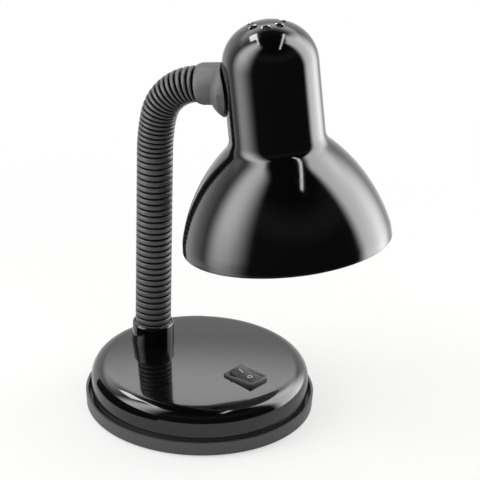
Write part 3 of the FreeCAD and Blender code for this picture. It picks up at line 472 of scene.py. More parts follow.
def take(*objects):
    """Selects these objects alone, and makes the first one active."""
    leave_all()
    for item in objects:
        item.select_set(True)
    bpy.context.view_layer.objects.active = objects[0]


print("ready to select pieces")

# %% [markdown]
# A turned skin is pulled up from a circle through a list of radii and heights. The wider a piece is,
# the more sides it needs to look round. Once it is drawn, its seams are welded, its faces are turned
# outwards and its shading is made smooth.
# %% Draw a turned piece
WIDE_SIDES = 192
SOCKET_SIDES = 128
NARROW_SIDES = 64
HOLE_SIDES = 48
CABLE_SIDES = 24


def drawn_up(name, rings, sides):
    """A round skin about Z from (radius, height) rings in millimetres, in edit mode."""
    leave_all()
    radius, height = rings[0]
    bpy.ops.mesh.primitive_circle_add(vertices=sides, radius=radius * MM, enter_editmode=True)
    bpy.ops.transform.translate(value=(0, 0, height * MM))
    for next_radius, next_height in rings[1:]:
        lift = (next_height - height) * MM
        bpy.ops.mesh.extrude_region_move(TRANSFORM_OT_translate={"value": (0, 0, lift)})
        share = next_radius / radius
        bpy.ops.transform.resize(value=(share, share, 1), center_override=(0, 0, next_height * MM))
        radius, height = next_radius, next_height
    piece = bpy.context.object
    piece.name = name
    piece.data.name = name
    return piece


def tidy_up(piece, angle):
    """Leaves edit mode with welded seams, outward faces and smooth shading up to an angle."""
    if piece.mode != "EDIT":
        take(piece)
        bpy.ops.object.mode_set(mode="EDIT")
    bpy.ops.mesh.select_all(action="SELECT")
    bpy.ops.mesh.remove_doubles(threshold=SEAM / 10)
    bpy.ops.mesh.normals_make_consistent(inside=False)
    bpy.ops.object.mode_set(mode="OBJECT")
    take(piece)
    bpy.ops.object.shade_smooth_by_angle(angle=math.radians(angle))


print("turned pieces get from", CABLE_SIDES, "to", WIDE_SIDES, "sides")

# %% [markdown]
# Modifiers such as Solidify and Boolean finish a piece, and they are applied at once. A piece is
# made round Z, where its sizes are plain numbers, and is then settled in its place in the lamp.
# %% Finish and settle a piece
def apply_modifier(piece, kind, **settings):
    """Adds a modifier with its settings and applies it."""
    modifier = piece.modifiers.new(kind.lower(), kind)
    for setting, value in settings.items():
        setattr(modifier, setting, value)
    take(piece)
    bpy.ops.object.modifier_apply(modifier=modifier.name)


def settle(piece, matrix):
    """Moves a finished piece to its place in the lamp, and keeps the place in its mesh."""
    take(piece)
    piece.matrix_world = matrix
    bpy.ops.object.transform_apply(location=True, rotation=True, scale=True)


print("ready to finish and settle pieces")

# %% [markdown]
# An outline is made of lines and arcs. As on a drawing, an arc is a middle, a radius and two angles.
# %% Points along an arc
def on_arc(centre, radius, angle):
    """Point at an angle on a circle of an outline, as (radius, height)."""
    turn = math.radians(angle)
    return (centre[0] + radius * math.cos(turn), centre[1] + radius * math.sin(turn))


def arc(centre, radius, start, end, step):
    """Points along an arc, about a step in degrees apart, both ends included."""
    count = max(2, round(abs(end - start) / step))
    return [on_arc(centre, radius, start + (end - start) * n / count) for n in range(count + 1)]


print("a quarter turn in steps of 30 degrees:", len(arc((0, 0), 1, 0, 90, step=30)), "points")

# %% [markdown]
# ## The neck's line
# The neck rises straight from its socket, leans out on a wide arc and turns over on a tight one.
# Sleeve, cable and head all follow this line, so it comes first. It could be drawn by eye, but
# two arcs in one upright plane give every length along it an exact place and direction.
# %% Measure the neck's line
SOCKET_X = -37.2
NECK_FOOT = 34.6
NECK_HEADING = 23.0
STRAIGHT = 117.2
# radius and turn of the wide arc and of the tight one
NECK_ARCS = ((131.0, 10.2), (28.6, 71.5))
COLLAR_GAP = 0.3

to_foot = Matrix.Translation(Vector((SOCKET_X, 0, NECK_FOOT)) * MM)
neck_plane = to_foot @ Matrix.Rotation(math.radians(NECK_HEADING), 4, "Z")
end_lean = sum(turn for radius, turn in NECK_ARCS)
collar_at = STRAIGHT + sum(radius * math.radians(turn) for radius, turn in NECK_ARCS) + COLLAR_GAP


def out_and_up(lean):
    """Direction of the line where it leans so far from upright, in the neck's own plane."""
    return Vector((math.sin(math.radians(lean)), 0, math.cos(math.radians(lean))))


def along_arc(radius, before, after):
    """Way from one lean of the line to another on an arc."""
    first, last = out_and_up(before), out_and_up(after)
    return radius * Vector((first.z - last.z, 0, last.x - first.x))


def point_on_neck(length):
    """Place and direction on the neck's line, at a length in millimetres from the sleeve's foot."""
    point = Vector((0, 0, min(length, STRAIGHT)))
    lean, passed = 0, STRAIGHT
    for radius, turn in NECK_ARCS:
        bent = min(math.degrees(max(length - passed, 0) / radius), turn)
        point += along_arc(radius, lean, lean + bent)
        passed += radius * math.radians(turn)
        lean += bent
    way = out_and_up(lean)
    point += way * max(length - passed, 0)
    return neck_plane @ (point * MM), neck_plane.to_3x3() @ way


print("collar at", round(collar_at, 2), "mm along the neck, leaning", round(end_lean, 1), "degrees")

# %% [markdown]
# A Bezier curve with a control point at each change draws the same line, for pieces that are bent
# along it. An arc's handles are as long as four thirds of its radius times the tangent of a quarter
# of its turn.
# %% Draw the neck's line
PAST_END = 30.0

corners = [Vector((0, 0, 0)), Vector((0, 0, STRAIGHT))]
leans = [0, 0]
handle_in = [0, STRAIGHT / 3]
handle_out = [STRAIGHT / 3]
for radius, turn in NECK_ARCS:
    corners.append(corners[-1] + along_arc(radius, leans[-1], leans[-1] + turn))
    leans.append(leans[-1] + turn)
    reach = 4 / 3 * math.tan(math.radians(turn) / 4) * radius
    handle_out.append(reach)
    handle_in.append(reach)
corners.append(corners[-1] + out_and_up(end_lean) * PAST_END)
leans.append(end_lean)
handle_out += [PAST_END / 3, 0]
handle_in.append(PAST_END / 3)

line_data = bpy.data.curves.new("neck_line", "CURVE")
line_data.dimensions = "3D"
line_data.twist_mode = "MINIMUM"
spline = line_data.splines.new("BEZIER")
spline.bezier_points.add(len(corners) - 1)
for point, corner, lean, back, front in zip(
    spline.bezier_points, corners, leans, handle_in, handle_out
):
    point.handle_left_type = point.handle_right_type = "FREE"
    point.co = corner * MM
    point.handle_left = (corner - out_and_up(lean) * back) * MM
    point.handle_right = (corner + out_and_up(lean) * front) * MM
spline.resolution_u = 64
neck_line = bpy.data.objects.new("neck_line", line_data)
bpy.context.scene.collection.objects.link(neck_line)
print("neck line:", round(spline.calc_length() / MM, 2), "mm")

# %% [markdown]
# ## The bell
# The bell is one spun sheet: a straight band at the mouth, a wide bowl, a hollow curve into the
# neck, and a dome. Its outside is drawn up ring by ring, and Solidify gives the sheet its
# thickness. The mouth ends in a hem that is rolled inwards so that no raw edge is left.
# %% Outline of the bell
MOUTH_RADIUS = 60.8
MOUTH_EDGE = (0.25, 0.4)
MOUTH_BAND = 6.0
BAND_DRAFT = 0.33
BOWL_RADIUS = 102.0
BOWL_LEAN = 12.3
BELL_NECK = 27.8
NECK_FILLET = 9.0
NECK_RINGS = 6
DOME_START = 107.9
DOME_SHOULDER = 24.0
DOME_TURN = 60.0
DOME_TIP = 89.6
SHEET = 1.0

bowl_centre = (
    MOUTH_RADIUS - BAND_DRAFT - BOWL_RADIUS * math.cos(math.radians(BOWL_LEAN)),
    MOUTH_BAND - BOWL_RADIUS * math.sin(math.radians(BOWL_LEAN)),
)
fillet_across = BELL_NECK + NECK_FILLET - bowl_centre[0]
fillet_along = math.sqrt((BOWL_RADIUS + NECK_FILLET) ** 2 - fillet_across ** 2)
fillet_centre = (BELL_NECK + NECK_FILLET, bowl_centre[1] + fillet_along)
meet = math.degrees(math.atan2(fillet_along, fillet_across))
dome_radius = DOME_SHOULDER + (BELL_NECK - DOME_SHOULDER) / math.cos(math.radians(DOME_TURN))
dome_centre = DOME_START - (BELL_NECK - DOME_SHOULDER) * math.tan(math.radians(DOME_TURN))

bell_rings = [
    (MOUTH_RADIUS - MOUTH_EDGE[0], 0.0),
    (MOUTH_RADIUS, MOUTH_EDGE[1]),
    (MOUTH_RADIUS - BAND_DRAFT / 2, MOUTH_BAND / 2),
]
bell_rings += arc(bowl_centre, BOWL_RADIUS, BOWL_LEAN, meet, step=1.5)
bell_rings += arc(fillet_centre, NECK_FILLET, 180 + meet, 180, step=8)[1:]
neck_low = fillet_centre[1]
for ring in range(1, NECK_RINGS):
    bell_rings.append((BELL_NECK, neck_low + (DOME_START - neck_low) * ring / NECK_RINGS))
bell_rings += arc((BELL_NECK - DOME_SHOULDER, DOME_START), DOME_SHOULDER, 0, DOME_TURN, step=5)
# the last ring is tiny, and is merged to a point
bell_rings += arc((0, dome_centre), dome_radius, DOME_TURN, DOME_TIP, step=3)[1:]
print("bell outline:", len(bell_rings), "rings, top at", round(dome_centre + dome_radius, 1), "mm")

# %% [markdown]
# The whole bell is made round Z with its mouth at zero, then laid into the lamp by one matrix. It
# starts at the collar, takes over the rise of the neck's end, rolls a little to one side, and goes
# out to the bell's axis and down to its mouth.
# %% Head frame
HEAD_ROLL = -4.45
NECK_REACH = 43.95
PIVOT_HEIGHT = 95.8
head = Matrix.Translation(point_on_neck(collar_at)[0])
for angle, axis in ((NECK_HEADING, "Z"), (end_lean - 90, "Y"), (HEAD_ROLL, "X")):
    head @= Matrix.Rotation(math.radians(angle), 4, axis)
head @= Matrix.Translation(Vector((NECK_REACH, 0, -PIVOT_HEIGHT)) * MM)
print("head origin", [round(x, 4) for x in head.translation])

# %% [markdown]
# The skin is drawn up, closed at its tip and given the sheet's thickness. A spinner rolls the hem out
# of the sheet itself. Drawn as a ring of its own inside the mouth, it looks the same and stays round.
# %% Draw the bell's skin and its hem
HEM_RADIUS = 1.25
HEM_CLEAR = 0.02
bell = drawn_up("bell", bell_rings, WIDE_SIDES)
bpy.ops.mesh.merge(type="CENTER")
tidy_up(bell, angle=40)
apply_modifier(bell, "SOLIDIFY", thickness=SHEET * MM, offset=-1, use_even_offset=True)
hem_middle = (MOUTH_RADIUS - HEM_RADIUS, HEM_RADIUS + HEM_CLEAR)
hem_rings = arc(hem_middle, HEM_RADIUS, -30, 330, step=20)
hem = drawn_up("bell_hem", hem_rings, WIDE_SIDES)
tidy_up(hem, angle=60)
print("bell skin:", len(bell.data.polygons), "faces; hem:", len(hem.data.polygons))

# %% [markdown]
# ## The bell's vents
# Seven round holes let the bulb's heat out of the dome. Each is punched and its edge pressed in,
# which leaves a slope of bare steel all round that catches the light. The punch is modelled first,
# with that slope on it. A bevel on the finished hole would have to find the edge of the cut again.
# %% Model one punch
VENT_RADIUS = 2.5
VENT_EDGE = 0.5
# radius and height of the punch, counted from the hole's radius and from the dome's skin
PUNCH_SHAPE = (
    (0.0, -SHEET - 1.5),
    (0.0, -VENT_EDGE),
    (0.28, -VENT_EDGE / 2.2),
    (VENT_EDGE + 0.15, 0.08),
    (VENT_EDGE + 1.2, 0.7),
)


def close_up(cutter):
    """Fills both ends of a drawn-up skin, so that it can cut."""
    bpy.ops.mesh.edge_face_add()
    bpy.ops.mesh.select_all(action="DESELECT")
    bpy.ops.mesh.select_non_manifold()
    bpy.ops.mesh.edge_face_add()
    tidy_up(cutter, angle=20)


punch_rings = [(VENT_RADIUS + out, dome_radius + up) for out, up in PUNCH_SHAPE]
punch = drawn_up("punch", punch_rings, HOLE_SIDES)
close_up(punch)
print("punch:", len(punch.data.polygons), "faces")

# %% [markdown]
# Each copy of the punch stands square on the dome's skin and is turned about the bell's axis. All
# copies are joined, so that one Boolean takes them out of the sheet together.
# %% Punch the vents
VENT_COUNT = 7
VENT_CIRCLE = 9.7
VENT_FIRST = -75.0


def cut_out(piece, cutter):
    """Takes a cutter's shape out of a piece and removes the cutter."""
    apply_modifier(piece, "BOOLEAN", operation="DIFFERENCE", object=cutter, solver="EXACT")
    bpy.data.objects.remove(cutter)


vent_lean = math.asin(VENT_CIRCLE / dome_radius)
to_dome = Matrix.Translation((0, 0, dome_centre * MM))
punches = []
for step in range(VENT_COUNT):
    take(punch)
    bpy.ops.object.duplicate(linked=False)
    copy = bpy.context.object
    turn = Matrix.Rotation(math.radians(VENT_FIRST + step * 360 / VENT_COUNT), 4, "Z")
    settle(copy, to_dome @ turn @ Matrix.Rotation(vent_lean, 4, "Y"))
    punches.append(copy)
take(*punches)
bpy.ops.object.join()
cut_out(bell, punches[0])
bpy.data.objects.remove(punch)
print("vents punched:", VENT_COUNT)

# %% [markdown]
# The bell hangs from a hollow stem that comes in through its side. The stem's hole is cut in the
# same way, by a short round bar that lies across the bell's neck on the side of the gooseneck.
# %% Cut the stem's hole
STEM_HOLE = 5.3
CUT_REACH = (15.0, 40.0)
stem_bar = drawn_up("stem_bar", [(STEM_HOLE, reach) for reach in CUT_REACH], HOLE_SIDES)
close_up(stem_bar)
to_pivot = Matrix.Translation((0, 0, PIVOT_HEIGHT * MM))
settle(stem_bar, to_pivot @ Matrix.Rotation(-math.pi / 2, 4, "Y"))
cut_out(bell, stem_bar)
take(bell, hem)
bpy.ops.object.join()
bell = bpy.context.object
print("bell with vents:", len(bell.data.polygons), "faces")

# %% [markdown]
# Outside the bell is black, inside it is white so that it throws the light down. The mesh gets
# both finishes, and each face is given the inner one if it looks back towards the bell's axis.
# %% Two finishes on one sheet
UPWARD_PULL = 15.0
LOOKS_BACK = -0.5
VENT_ZONE = VENT_CIRCLE + VENT_RADIUS + 2
LEANS_AWAY = 0.93

bell.data.materials.clear()
for material in (shade_black, shade_white, bare_edge):
    bell.data.materials.append(material)

inside_faces = 0
for face in bell.data.polygons:
    outwards = Vector((face.center.x, face.center.y, UPWARD_PULL * MM)).normalized()
    if face.normal.dot(outwards) < LOOKS_BACK:
        face.material_index = 1
        inside_faces += 1
    # the slopes of the vents lie just under the dome's skin and lean away from it
    from_middle = face.center - Vector((0, 0, dome_centre * MM))
    near_vents = math.hypot(from_middle.x, from_middle.y) < VENT_ZONE * MM
    in_skin = from_middle.z > 0 and from_middle.length > (dome_radius - VENT_EDGE) * MM
    if near_vents and in_skin and abs(face.normal.dot(from_middle.normalized())) < LEANS_AWAY:
        face.material_index = 2
settle(bell, head)
take(bell)
bpy.ops.object.shade_smooth_by_angle(angle=math.radians(35))
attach(bell, "head")
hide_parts("shade")
print("white faces inside:", inside_faces)

# %% [markdown]
# ## The base's cover
# The cover is one moulding: a low dome with a quarter-round edge. Like the bell it is drawn up
# ring by ring and given a wall by Solidify. The neck's socket is a second turned skin that rises
# from the dome, and the switch sits in a square opening that a Boolean cuts.
# %% Outline of the cover
COVER_RADIUS = 64.2
COVER_LOW = 10.7
COVER_FOOT = 3.5
COVER_EDGE = 27.7
COVER_SHOULDER = 9.6
COVER_TOP = 29.5
COVER_WALL = 2.4
CROWN_TIP = 89.96
CROWN_STEP = 0.25
crown_reach = COVER_RADIUS - COVER_SHOULDER
crown_rise = COVER_TOP - COVER_EDGE
crown_radius = (crown_reach ** 2 + crown_rise ** 2) / (2 * crown_rise)
crown_lean = math.degrees(math.asin(crown_reach / crown_radius))
cover_rings = [(COVER_RADIUS, COVER_LOW), (COVER_RADIUS, COVER_LOW + COVER_FOOT)]
shoulder_middle = (crown_reach, COVER_EDGE - COVER_SHOULDER)
cover_rings += arc(shoulder_middle, COVER_SHOULDER, 0, 90 - crown_lean, step=5)
crown_middle = (0, COVER_TOP - crown_radius)
cover_rings += arc(crown_middle, crown_radius, 90 - crown_lean, CROWN_TIP, CROWN_STEP)[1:]
cover = drawn_up("cover", cover_rings, WIDE_SIDES)
bpy.ops.mesh.merge(type="CENTER")
tidy_up(cover, angle=40)
apply_modifier(cover, "SOLIDIFY", thickness=COVER_WALL * MM, offset=-1, use_even_offset=True)
print("cover skin:", len(cover.data.polygons), "faces")

# %% [markdown]
# The switch snaps into a square opening, and the cord comes in through a round one at the back.
# Both are cut by a Boolean with a plain cutter: a stretched cube and a cylinder that lies down.
# %% Cut the switch's opening and the cord's inlet
BEZEL = (21.0, 15.0)
BEZEL_GAP = 0.1
OPENING_MIDDLE = 25.0
OPENING_CUT = 30
INLET_HEIGHT = 15.3
INLET_RADIUS = 3.35
INLET_CUT = 12


def block(name, size, middle):
    """A cutter: a cube stretched to a size round a middle, in millimetres."""
    leave_all()
    bpy.ops.mesh.primitive_cube_add(size=1, enter_editmode=True)
    bpy.ops.transform.resize(value=tuple(side * MM for side in size))
    bpy.ops.transform.translate(value=tuple(x * MM for x in middle))
    bpy.ops.object.mode_set(mode="OBJECT")
    piece = bpy.context.object
    piece.name = name
    return piece


opening = (BEZEL[0] + BEZEL_GAP, BEZEL[1] + BEZEL_GAP, OPENING_CUT)
cut_out(cover, block("opening", opening, (SWITCH_X, 0, OPENING_MIDDLE)))
leave_all()
bpy.ops.mesh.primitive_cylinder_add(
    vertices=HOLE_SIDES, radius=INLET_RADIUS * MM, depth=INLET_CUT * MM
)
inlet = bpy.context.object
to_wall = Matrix.Translation((-COVER_RADIUS * MM, 0, INLET_HEIGHT * MM))
settle(inlet, to_wall @ Matrix.Rotation(math.pi / 2, 4, "Y"))
cut_out(cover, inlet)
print("cover cut:", len(cover.data.polygons), "faces")

# %% [markdown]
# The socket holds the foot of the neck: a short tapered tube with a rounded rim, and inside it a
# seat for the ferrule. It is turned like the bell, from its foot over the rim down to the seat.
# %% Draw the socket
SOCKET_FOOT = 12.65
SOCKET_TOP = 12.25
SOCKET_RIM = 41.3
SOCKET_ROUND = 1.2
SOCKET_BORE = 10.95
BORE_EDGE = 0.1
SOCKET_SEAT = 30.3
FERRULE_HOLE = 5.3
# how far under the cover's top the socket's foot and its hole reach
UNDER_TOP = (3.0, 1.5)
HOLE_DEPTH = 4.1
socket_rings = [(SOCKET_FOOT, COVER_TOP - depth) for depth in UNDER_TOP]
rim_middle = (SOCKET_TOP - SOCKET_ROUND, SOCKET_RIM - SOCKET_ROUND)
socket_rings += arc(rim_middle, SOCKET_ROUND, 2, 90, step=12)
socket_rings += [
    (SOCKET_BORE + BORE_EDGE, SOCKET_RIM),
    (SOCKET_BORE, SOCKET_RIM - BORE_EDGE),
    (SOCKET_BORE, SOCKET_SEAT),
    (FERRULE_HOLE, SOCKET_SEAT),
    (FERRULE_HOLE, COVER_TOP - HOLE_DEPTH),
]
socket = drawn_up("cover_socket", socket_rings, SOCKET_SIDES)
tidy_up(socket, angle=50)
settle(socket, Matrix.Translation((SOCKET_X * MM, 0, 0)))
for piece in (cover, socket):
    piece.data.materials.clear()
    piece.data.materials.append(cover_black)
    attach(piece, "base")
    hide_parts("base_cover")
take(cover)
bpy.ops.object.shade_smooth_by_angle(angle=math.radians(30))
print("socket:", len(socket.data.polygons), "faces")

# %% [markdown]
# ## The ribbed sleeve
# The sleeve is a soft tube of 53 ribs, which stand closer where the neck bends. One rib is drawn
# up in twelve rings, an Array repeats it, and a Curve modifier lays the row along the neck's line.
# Ribs in a bump map would be quicker, but a glancing eye sees them only if they are real. The tube
# is one piece on the real lamp. Here it is cut in the grooves over the places where the neck bends,
# so that each length can follow its own link of the neck.
# %% Draw one rib
BENDS = (0, 26.46, 49.14, 71.82, 94.5, 117.18, 132.3, 143.64, 154.98, 166.32, 181.44)
RIBS = (7, 6, 6, 6, 6, 5, 4, 4, 4, 5)
RIB_CREST = 10.6
RIB_FLOOR = 8.1
GROOVE_TOP = 1.3
GROOVE_FLOOR = 1.2
# the rounded foot of a rib, out from the groove's floor, and its edge, in from the crest
FOOT_ROUND = ((0.0, 0.1), (0.14, -0.04))
EDGE_ROUND = ((0.4, 0.05), (0.12, -0.07), (0.0, -0.4))


def one_rib(pitch):
    """Rings of one rib: radius and height, from the middle of a groove to the middle of the next."""
    crest = (pitch - GROOVE_TOP) / 2
    foot = (pitch - GROOVE_FLOOR) / 2
    rise = [(RIB_FLOOR, pitch / 2)]
    rise += [(RIB_FLOOR + out, foot + up) for out, up in FOOT_ROUND]
    rise += [(RIB_CREST - back, crest + up) for back, up in EDGE_ROUND]
    rings = [(radius, pitch / 2 - height) for radius, height in rise]
    return rings + [(radius, pitch / 2 + height) for radius, height in reversed(rise)]


def lay_along(piece):
    """Bends a straight piece along the neck's line and settles it in the lamp."""
    apply_modifier(piece, "CURVE", object=neck_line, deform_axis="POS_X")
    settle(piece, neck_plane)


def along_x(distance):
    """Matrix that lays a piece made round Z along X, at a distance in millimetres."""
    return Matrix.Translation((distance * MM, 0, 0)) @ Matrix.Rotation(math.pi / 2, 4, "Y")


print("one rib:", len(one_rib(BENDS[1] / RIBS[0])), "rings")

# %% [markdown]
# By hand one clicks on the points, edges or faces to work on. A script picks them by a test on their
# place or direction. This helper marks them in object mode, because edit mode works on a copy of the
# mesh, and then goes back to edit mode.
# %% Pick points, edges or faces
def pick(piece, kind, test):
    """Selects the points, edges or faces of a piece that pass a test, and enters edit mode."""
    take(piece)
    bpy.ops.object.mode_set(mode="EDIT")
    bpy.ops.mesh.select_mode(type=kind)
    bpy.ops.mesh.select_all(action="DESELECT")
    bpy.ops.object.mode_set(mode="OBJECT")
    mesh = piece.data
    for part in {"VERT": mesh.vertices, "EDGE": mesh.edges, "FACE": mesh.polygons}[kind]:
        part.select = test(part)
    bpy.ops.object.mode_set(mode="EDIT")


print("ready to pick by place or direction")

# %% [markdown]
# Each length is a row of ribs, bent by the curve. The lowest ring of the next length stays its own,
# and the groove over the bend is pulled out of the length below it, in rings that can stretch.
# Crests get the grey satin, grooves the near-black painted shade, by a face's distance from the axis.
# %% Lay the sleeve's lengths along the neck
STRETCH_RINGS = 4
CREST_DEPTH = 0.3
BLEND_MARGIN = 0.05
sleeves = []
for number, (low, high, count) in enumerate(zip(BENDS, BENDS[1:], RIBS)):
    pitch = (high - low) / count
    piece = drawn_up(f"sleeve_{number + 1}", one_rib(pitch), NARROW_SIDES)
    leave_all()
    apply_modifier(
        piece,
        "ARRAY",
        count=count,
        use_relative_offset=False,
        use_constant_offset=True,
        constant_offset_displace=(0, 0, pitch * MM),
        use_merge_vertices=True,
        merge_threshold=SEAM,
    )
    if high < BENDS[-1]:
        top = (high - low) * MM - SEAM
        pick(piece, "VERT", lambda vertex: vertex.co.z > top)
        stretch = (0, 0, GROOVE_FLOOR / 2 / STRETCH_RINGS * MM)
        for ring in range(STRETCH_RINGS):
            bpy.ops.mesh.extrude_region_move(TRANSFORM_OT_translate={"value": stretch})
        leave_all()
    piece.data.materials.clear()
    piece.data.materials.append(sleeve_grey)
    piece.data.materials.append(groove_painted_shade)
    # faces sunk below the crests get the painted shade of the grooves
    for face in piece.data.polygons:
        if math.hypot(face.center.x, face.center.y) < (RIB_CREST - CREST_DEPTH) * MM:
            face.material_index = 1
    settle(piece, along_x(low))
    lay_along(piece)
    tidy_up(piece, angle=50)
    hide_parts(f"neck_sleeve_{number + 1}")
    if high < BENDS[-1]:
        hinge, way = point_on_neck(high)
        reach = way * (GROOVE_FLOOR / 2 - BLEND_MARGIN) * MM
        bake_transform(piece)
    else:
        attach(piece, "neck_end")
    sleeves.append(piece)
print("sleeve lengths:", [len(piece.data.polygons) for piece in sleeves])

# %% [markdown]
# ## The cable inside the neck
# A round cable runs through the steel links. It is drawn as nine stretches, each from the middle of
# one link to the middle of the next, and each laid along the neck's line.
# %% Draw the cable in the neck
CABLE_RADIUS = 2.6
CABLE_START = 2.0
CABLE_END = 25.23
CABLE_STEP = 1.5
HINGE_REACH = 2.0
middles = [(low + high) / 2 for low, high in zip(BENDS, BENDS[1:])]
stops = [CABLE_START] + middles[1:-1] + [collar_at + CABLE_END]
for number, (start, end) in enumerate(zip(stops, stops[1:])):
    steps = max(4, round((end - start) / CABLE_STEP))
    rings = [(CABLE_RADIUS, (end - start) * n / steps) for n in range(steps + 1)]
    piece = drawn_up(f"cable_{number + 2}", rings, CABLE_SIDES)
    tidy_up(piece, angle=50)
    settle(piece, along_x(start))
    lay_along(piece)
    piece.data.materials.append(cable_black)
    hinge, way = point_on_neck(BENDS[number + 1])
    reach = way * HINGE_REACH * MM
    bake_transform(piece)
    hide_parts("lamp_cable")
print("cable stretches in the neck:", len(stops) - 1)

# %% [markdown]
# In the base the cable lies in a soft curve from the terminal block to the foot of the neck. Rings
# would be tedious there. A spline through a few points, with a round bevel, finds its own way.
# %% Draw the cable in the base
BLOCK_ENTRY = (-7.0, -30.0, 16.75)
CABLE_ROUTE = [
    BLOCK_ENTRY,
    (-16, -30, 16.75),
    (-30, -22, 16.75),
    (SOCKET_X, -9, 15.0),
    (SOCKET_X, 0, 16.5),
    (SOCKET_X, 0, 24),
    (SOCKET_X, 0, 36.7),
]


def spline_tube(name, points, radius):
    """A round tube along a smooth spline through control points in millimetres, as a mesh."""
    data = bpy.data.curves.new(name, "CURVE")
    data.dimensions = "3D"
    data.bevel_depth = radius * MM
    data.bevel_resolution = 4
    data.use_fill_caps = True
    path = data.splines.new("NURBS")
    path.points.add(len(points) - 1)
    for control, point in zip(path.points, points):
        control.co = (*(x * MM for x in point), 1)
    path.order_u = 3
    path.use_endpoint_u = True
    path.resolution_u = 12
    tube = bpy.data.objects.new(name, data)
    bpy.context.scene.collection.objects.link(tube)
    take(tube)
    bpy.ops.object.convert(target="MESH")
    tube = bpy.context.object
    bpy.ops.object.shade_smooth_by_angle(angle=math.radians(50))
    return tube


cable_foot = spline_tube("cable_1", CABLE_ROUTE, CABLE_RADIUS)
cable_foot.data.materials.append(cable_black)
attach(cable_foot, "base")
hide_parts("lamp_cable")
print("cable in the base:", len(cable_foot.data.polygons), "faces")

# %% [markdown]
# Where the cable ends, its cores go on as single wires, brown and blue. In the base they run into the
# terminal block and on to the switch. In the head they rise from the neck, cross over the lampholder
# and drop into it. They are thin and hang freely, so a few points and a smooth spline are enough.
# %% Draw the single wires
wire_blue, tree, shader, place = finish("blue_wire_pvc", "24508c", 0.4)
grain(tree, shader, place, 0.8, 0.01)
WIRE_RADIUS = 0.9
BASE_ROUTES = (
    (wire_brown, [(-7, -31.3, 16.75), (-5.2, -31.3, 16.75), (-2.4, -34, 16.75), (3, -34, 16.75)]),
    (wire_blue, [(-7, -28.7, 16.75), (-5.2, -28.7, 16.75), (-2.4, -26, 16.75), (3, -26, 16.75)]),
    (wire_brown, [(9, -26, 16.75), (15, -26, 16.75), (23.3, -13, 14.2), (31.6, 0, 12.7), (34.6, 0, 12.7)]),
)
for number, (material, route) in enumerate(BASE_ROUTES):
    wire = spline_tube(f"base_wire_{number + 1}", route, WIRE_RADIUS)
    wire.data.materials.append(material)
    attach(wire, "base")
    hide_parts("base_wires")
WIRE_RISE = -16.17
WIRE_TOP = 115.5
WIRE_SIDE = 1.3
for number, (material, side) in enumerate(((wire_brown, -WIRE_SIDE), (wire_blue, WIRE_SIDE))):
    route = [
        (WIRE_RISE - 2.5, side, PIVOT_HEIGHT),
        (WIRE_RISE - 0.3, side, PIVOT_HEIGHT),
        (WIRE_RISE, side, PIVOT_HEIGHT + 3),
        (WIRE_RISE, side, WIRE_TOP),
        (WIRE_RISE, side, WIRE_TOP + 8),
        (WIRE_RISE / 2, side, WIRE_TOP + 11),
        (0, side, WIRE_TOP + 8),
        (0, side, WIRE_TOP),
        (0, side, 89.7),
    ]
    wire = spline_tube(f"head_wire_{number + 1}", route, WIRE_RADIUS)
    settle(wire, head)
    wire.data.materials.append(material)
    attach(wire, "head")
    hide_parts("head_wires")
print("wires drawn:", len(BASE_ROUTES) + 2)

# %% [markdown]
# ## The bulb
# A small globe of frosted glass sits on a rolled screw cap. A sphere would do for the globe alone,
# but the glass runs on into its neck, so it is drawn up from the bottom of the globe to the cap.
# %% Draw the globe
GLOBE_RADIUS = 22.5
GLOBE_BOTTOM = 12.0
BOTTOM_RING = 0.02
GLASS_NECK = 11.8
GLASS_WALL = 0.8
# where globe and neck flow together: degrees left off the globe, out from the neck, and up
GLASS_BLEND = (4, 0.35, 0.6)
CAP_LOW = 57.1
CAP_LIP = 1.5
THREAD_PITCH = 3.6
globe_centre = GLOBE_BOTTOM + GLOBE_RADIUS
neck_angle = math.acos(GLASS_NECK / GLOBE_RADIUS)
neck_start = globe_centre + GLOBE_RADIUS * math.sin(neck_angle)
globe_end = math.degrees(neck_angle) - GLASS_BLEND[0]
globe_rings = arc((0, globe_centre), GLOBE_RADIUS, -89, globe_end, step=5)
globe_rings += [
    (GLASS_NECK + GLASS_BLEND[1], neck_start + GLASS_BLEND[2]),
    (GLASS_NECK, CAP_LOW - CAP_LIP),
    (GLASS_NECK, CAP_LOW + THREAD_PITCH),
]
globe = drawn_up("bulb_globe", globe_rings, NARROW_SIDES)
pick(globe, "VERT", lambda vertex: vertex.co.z < (GLOBE_BOTTOM + BOTTOM_RING) * MM)
bpy.ops.mesh.merge(type="CENTER")
tidy_up(globe, angle=50)
apply_modifier(globe, "SOLIDIFY", thickness=GLASS_WALL * MM, offset=-1)
settle(globe, head)
globe.data.materials.append(frosted)
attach(globe, "head")
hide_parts("bulb_glass")
print("globe:", len(globe.data.polygons), "faces")

# %% [markdown]
# The cap is rolled from thin tin-plate. Its round thread could be a true helix, but the lampholder
# hides it, so a row of soft waves, one for each turn, does as well.
# %% Draw the screw cap
CAP_RADIUS = 13.1
CAP_HIGH = 80.2
THREAD_DEPTH = 0.6
WAVE_RINGS = 6
CAP_WALL = 0.5
CAP_END = 84.0
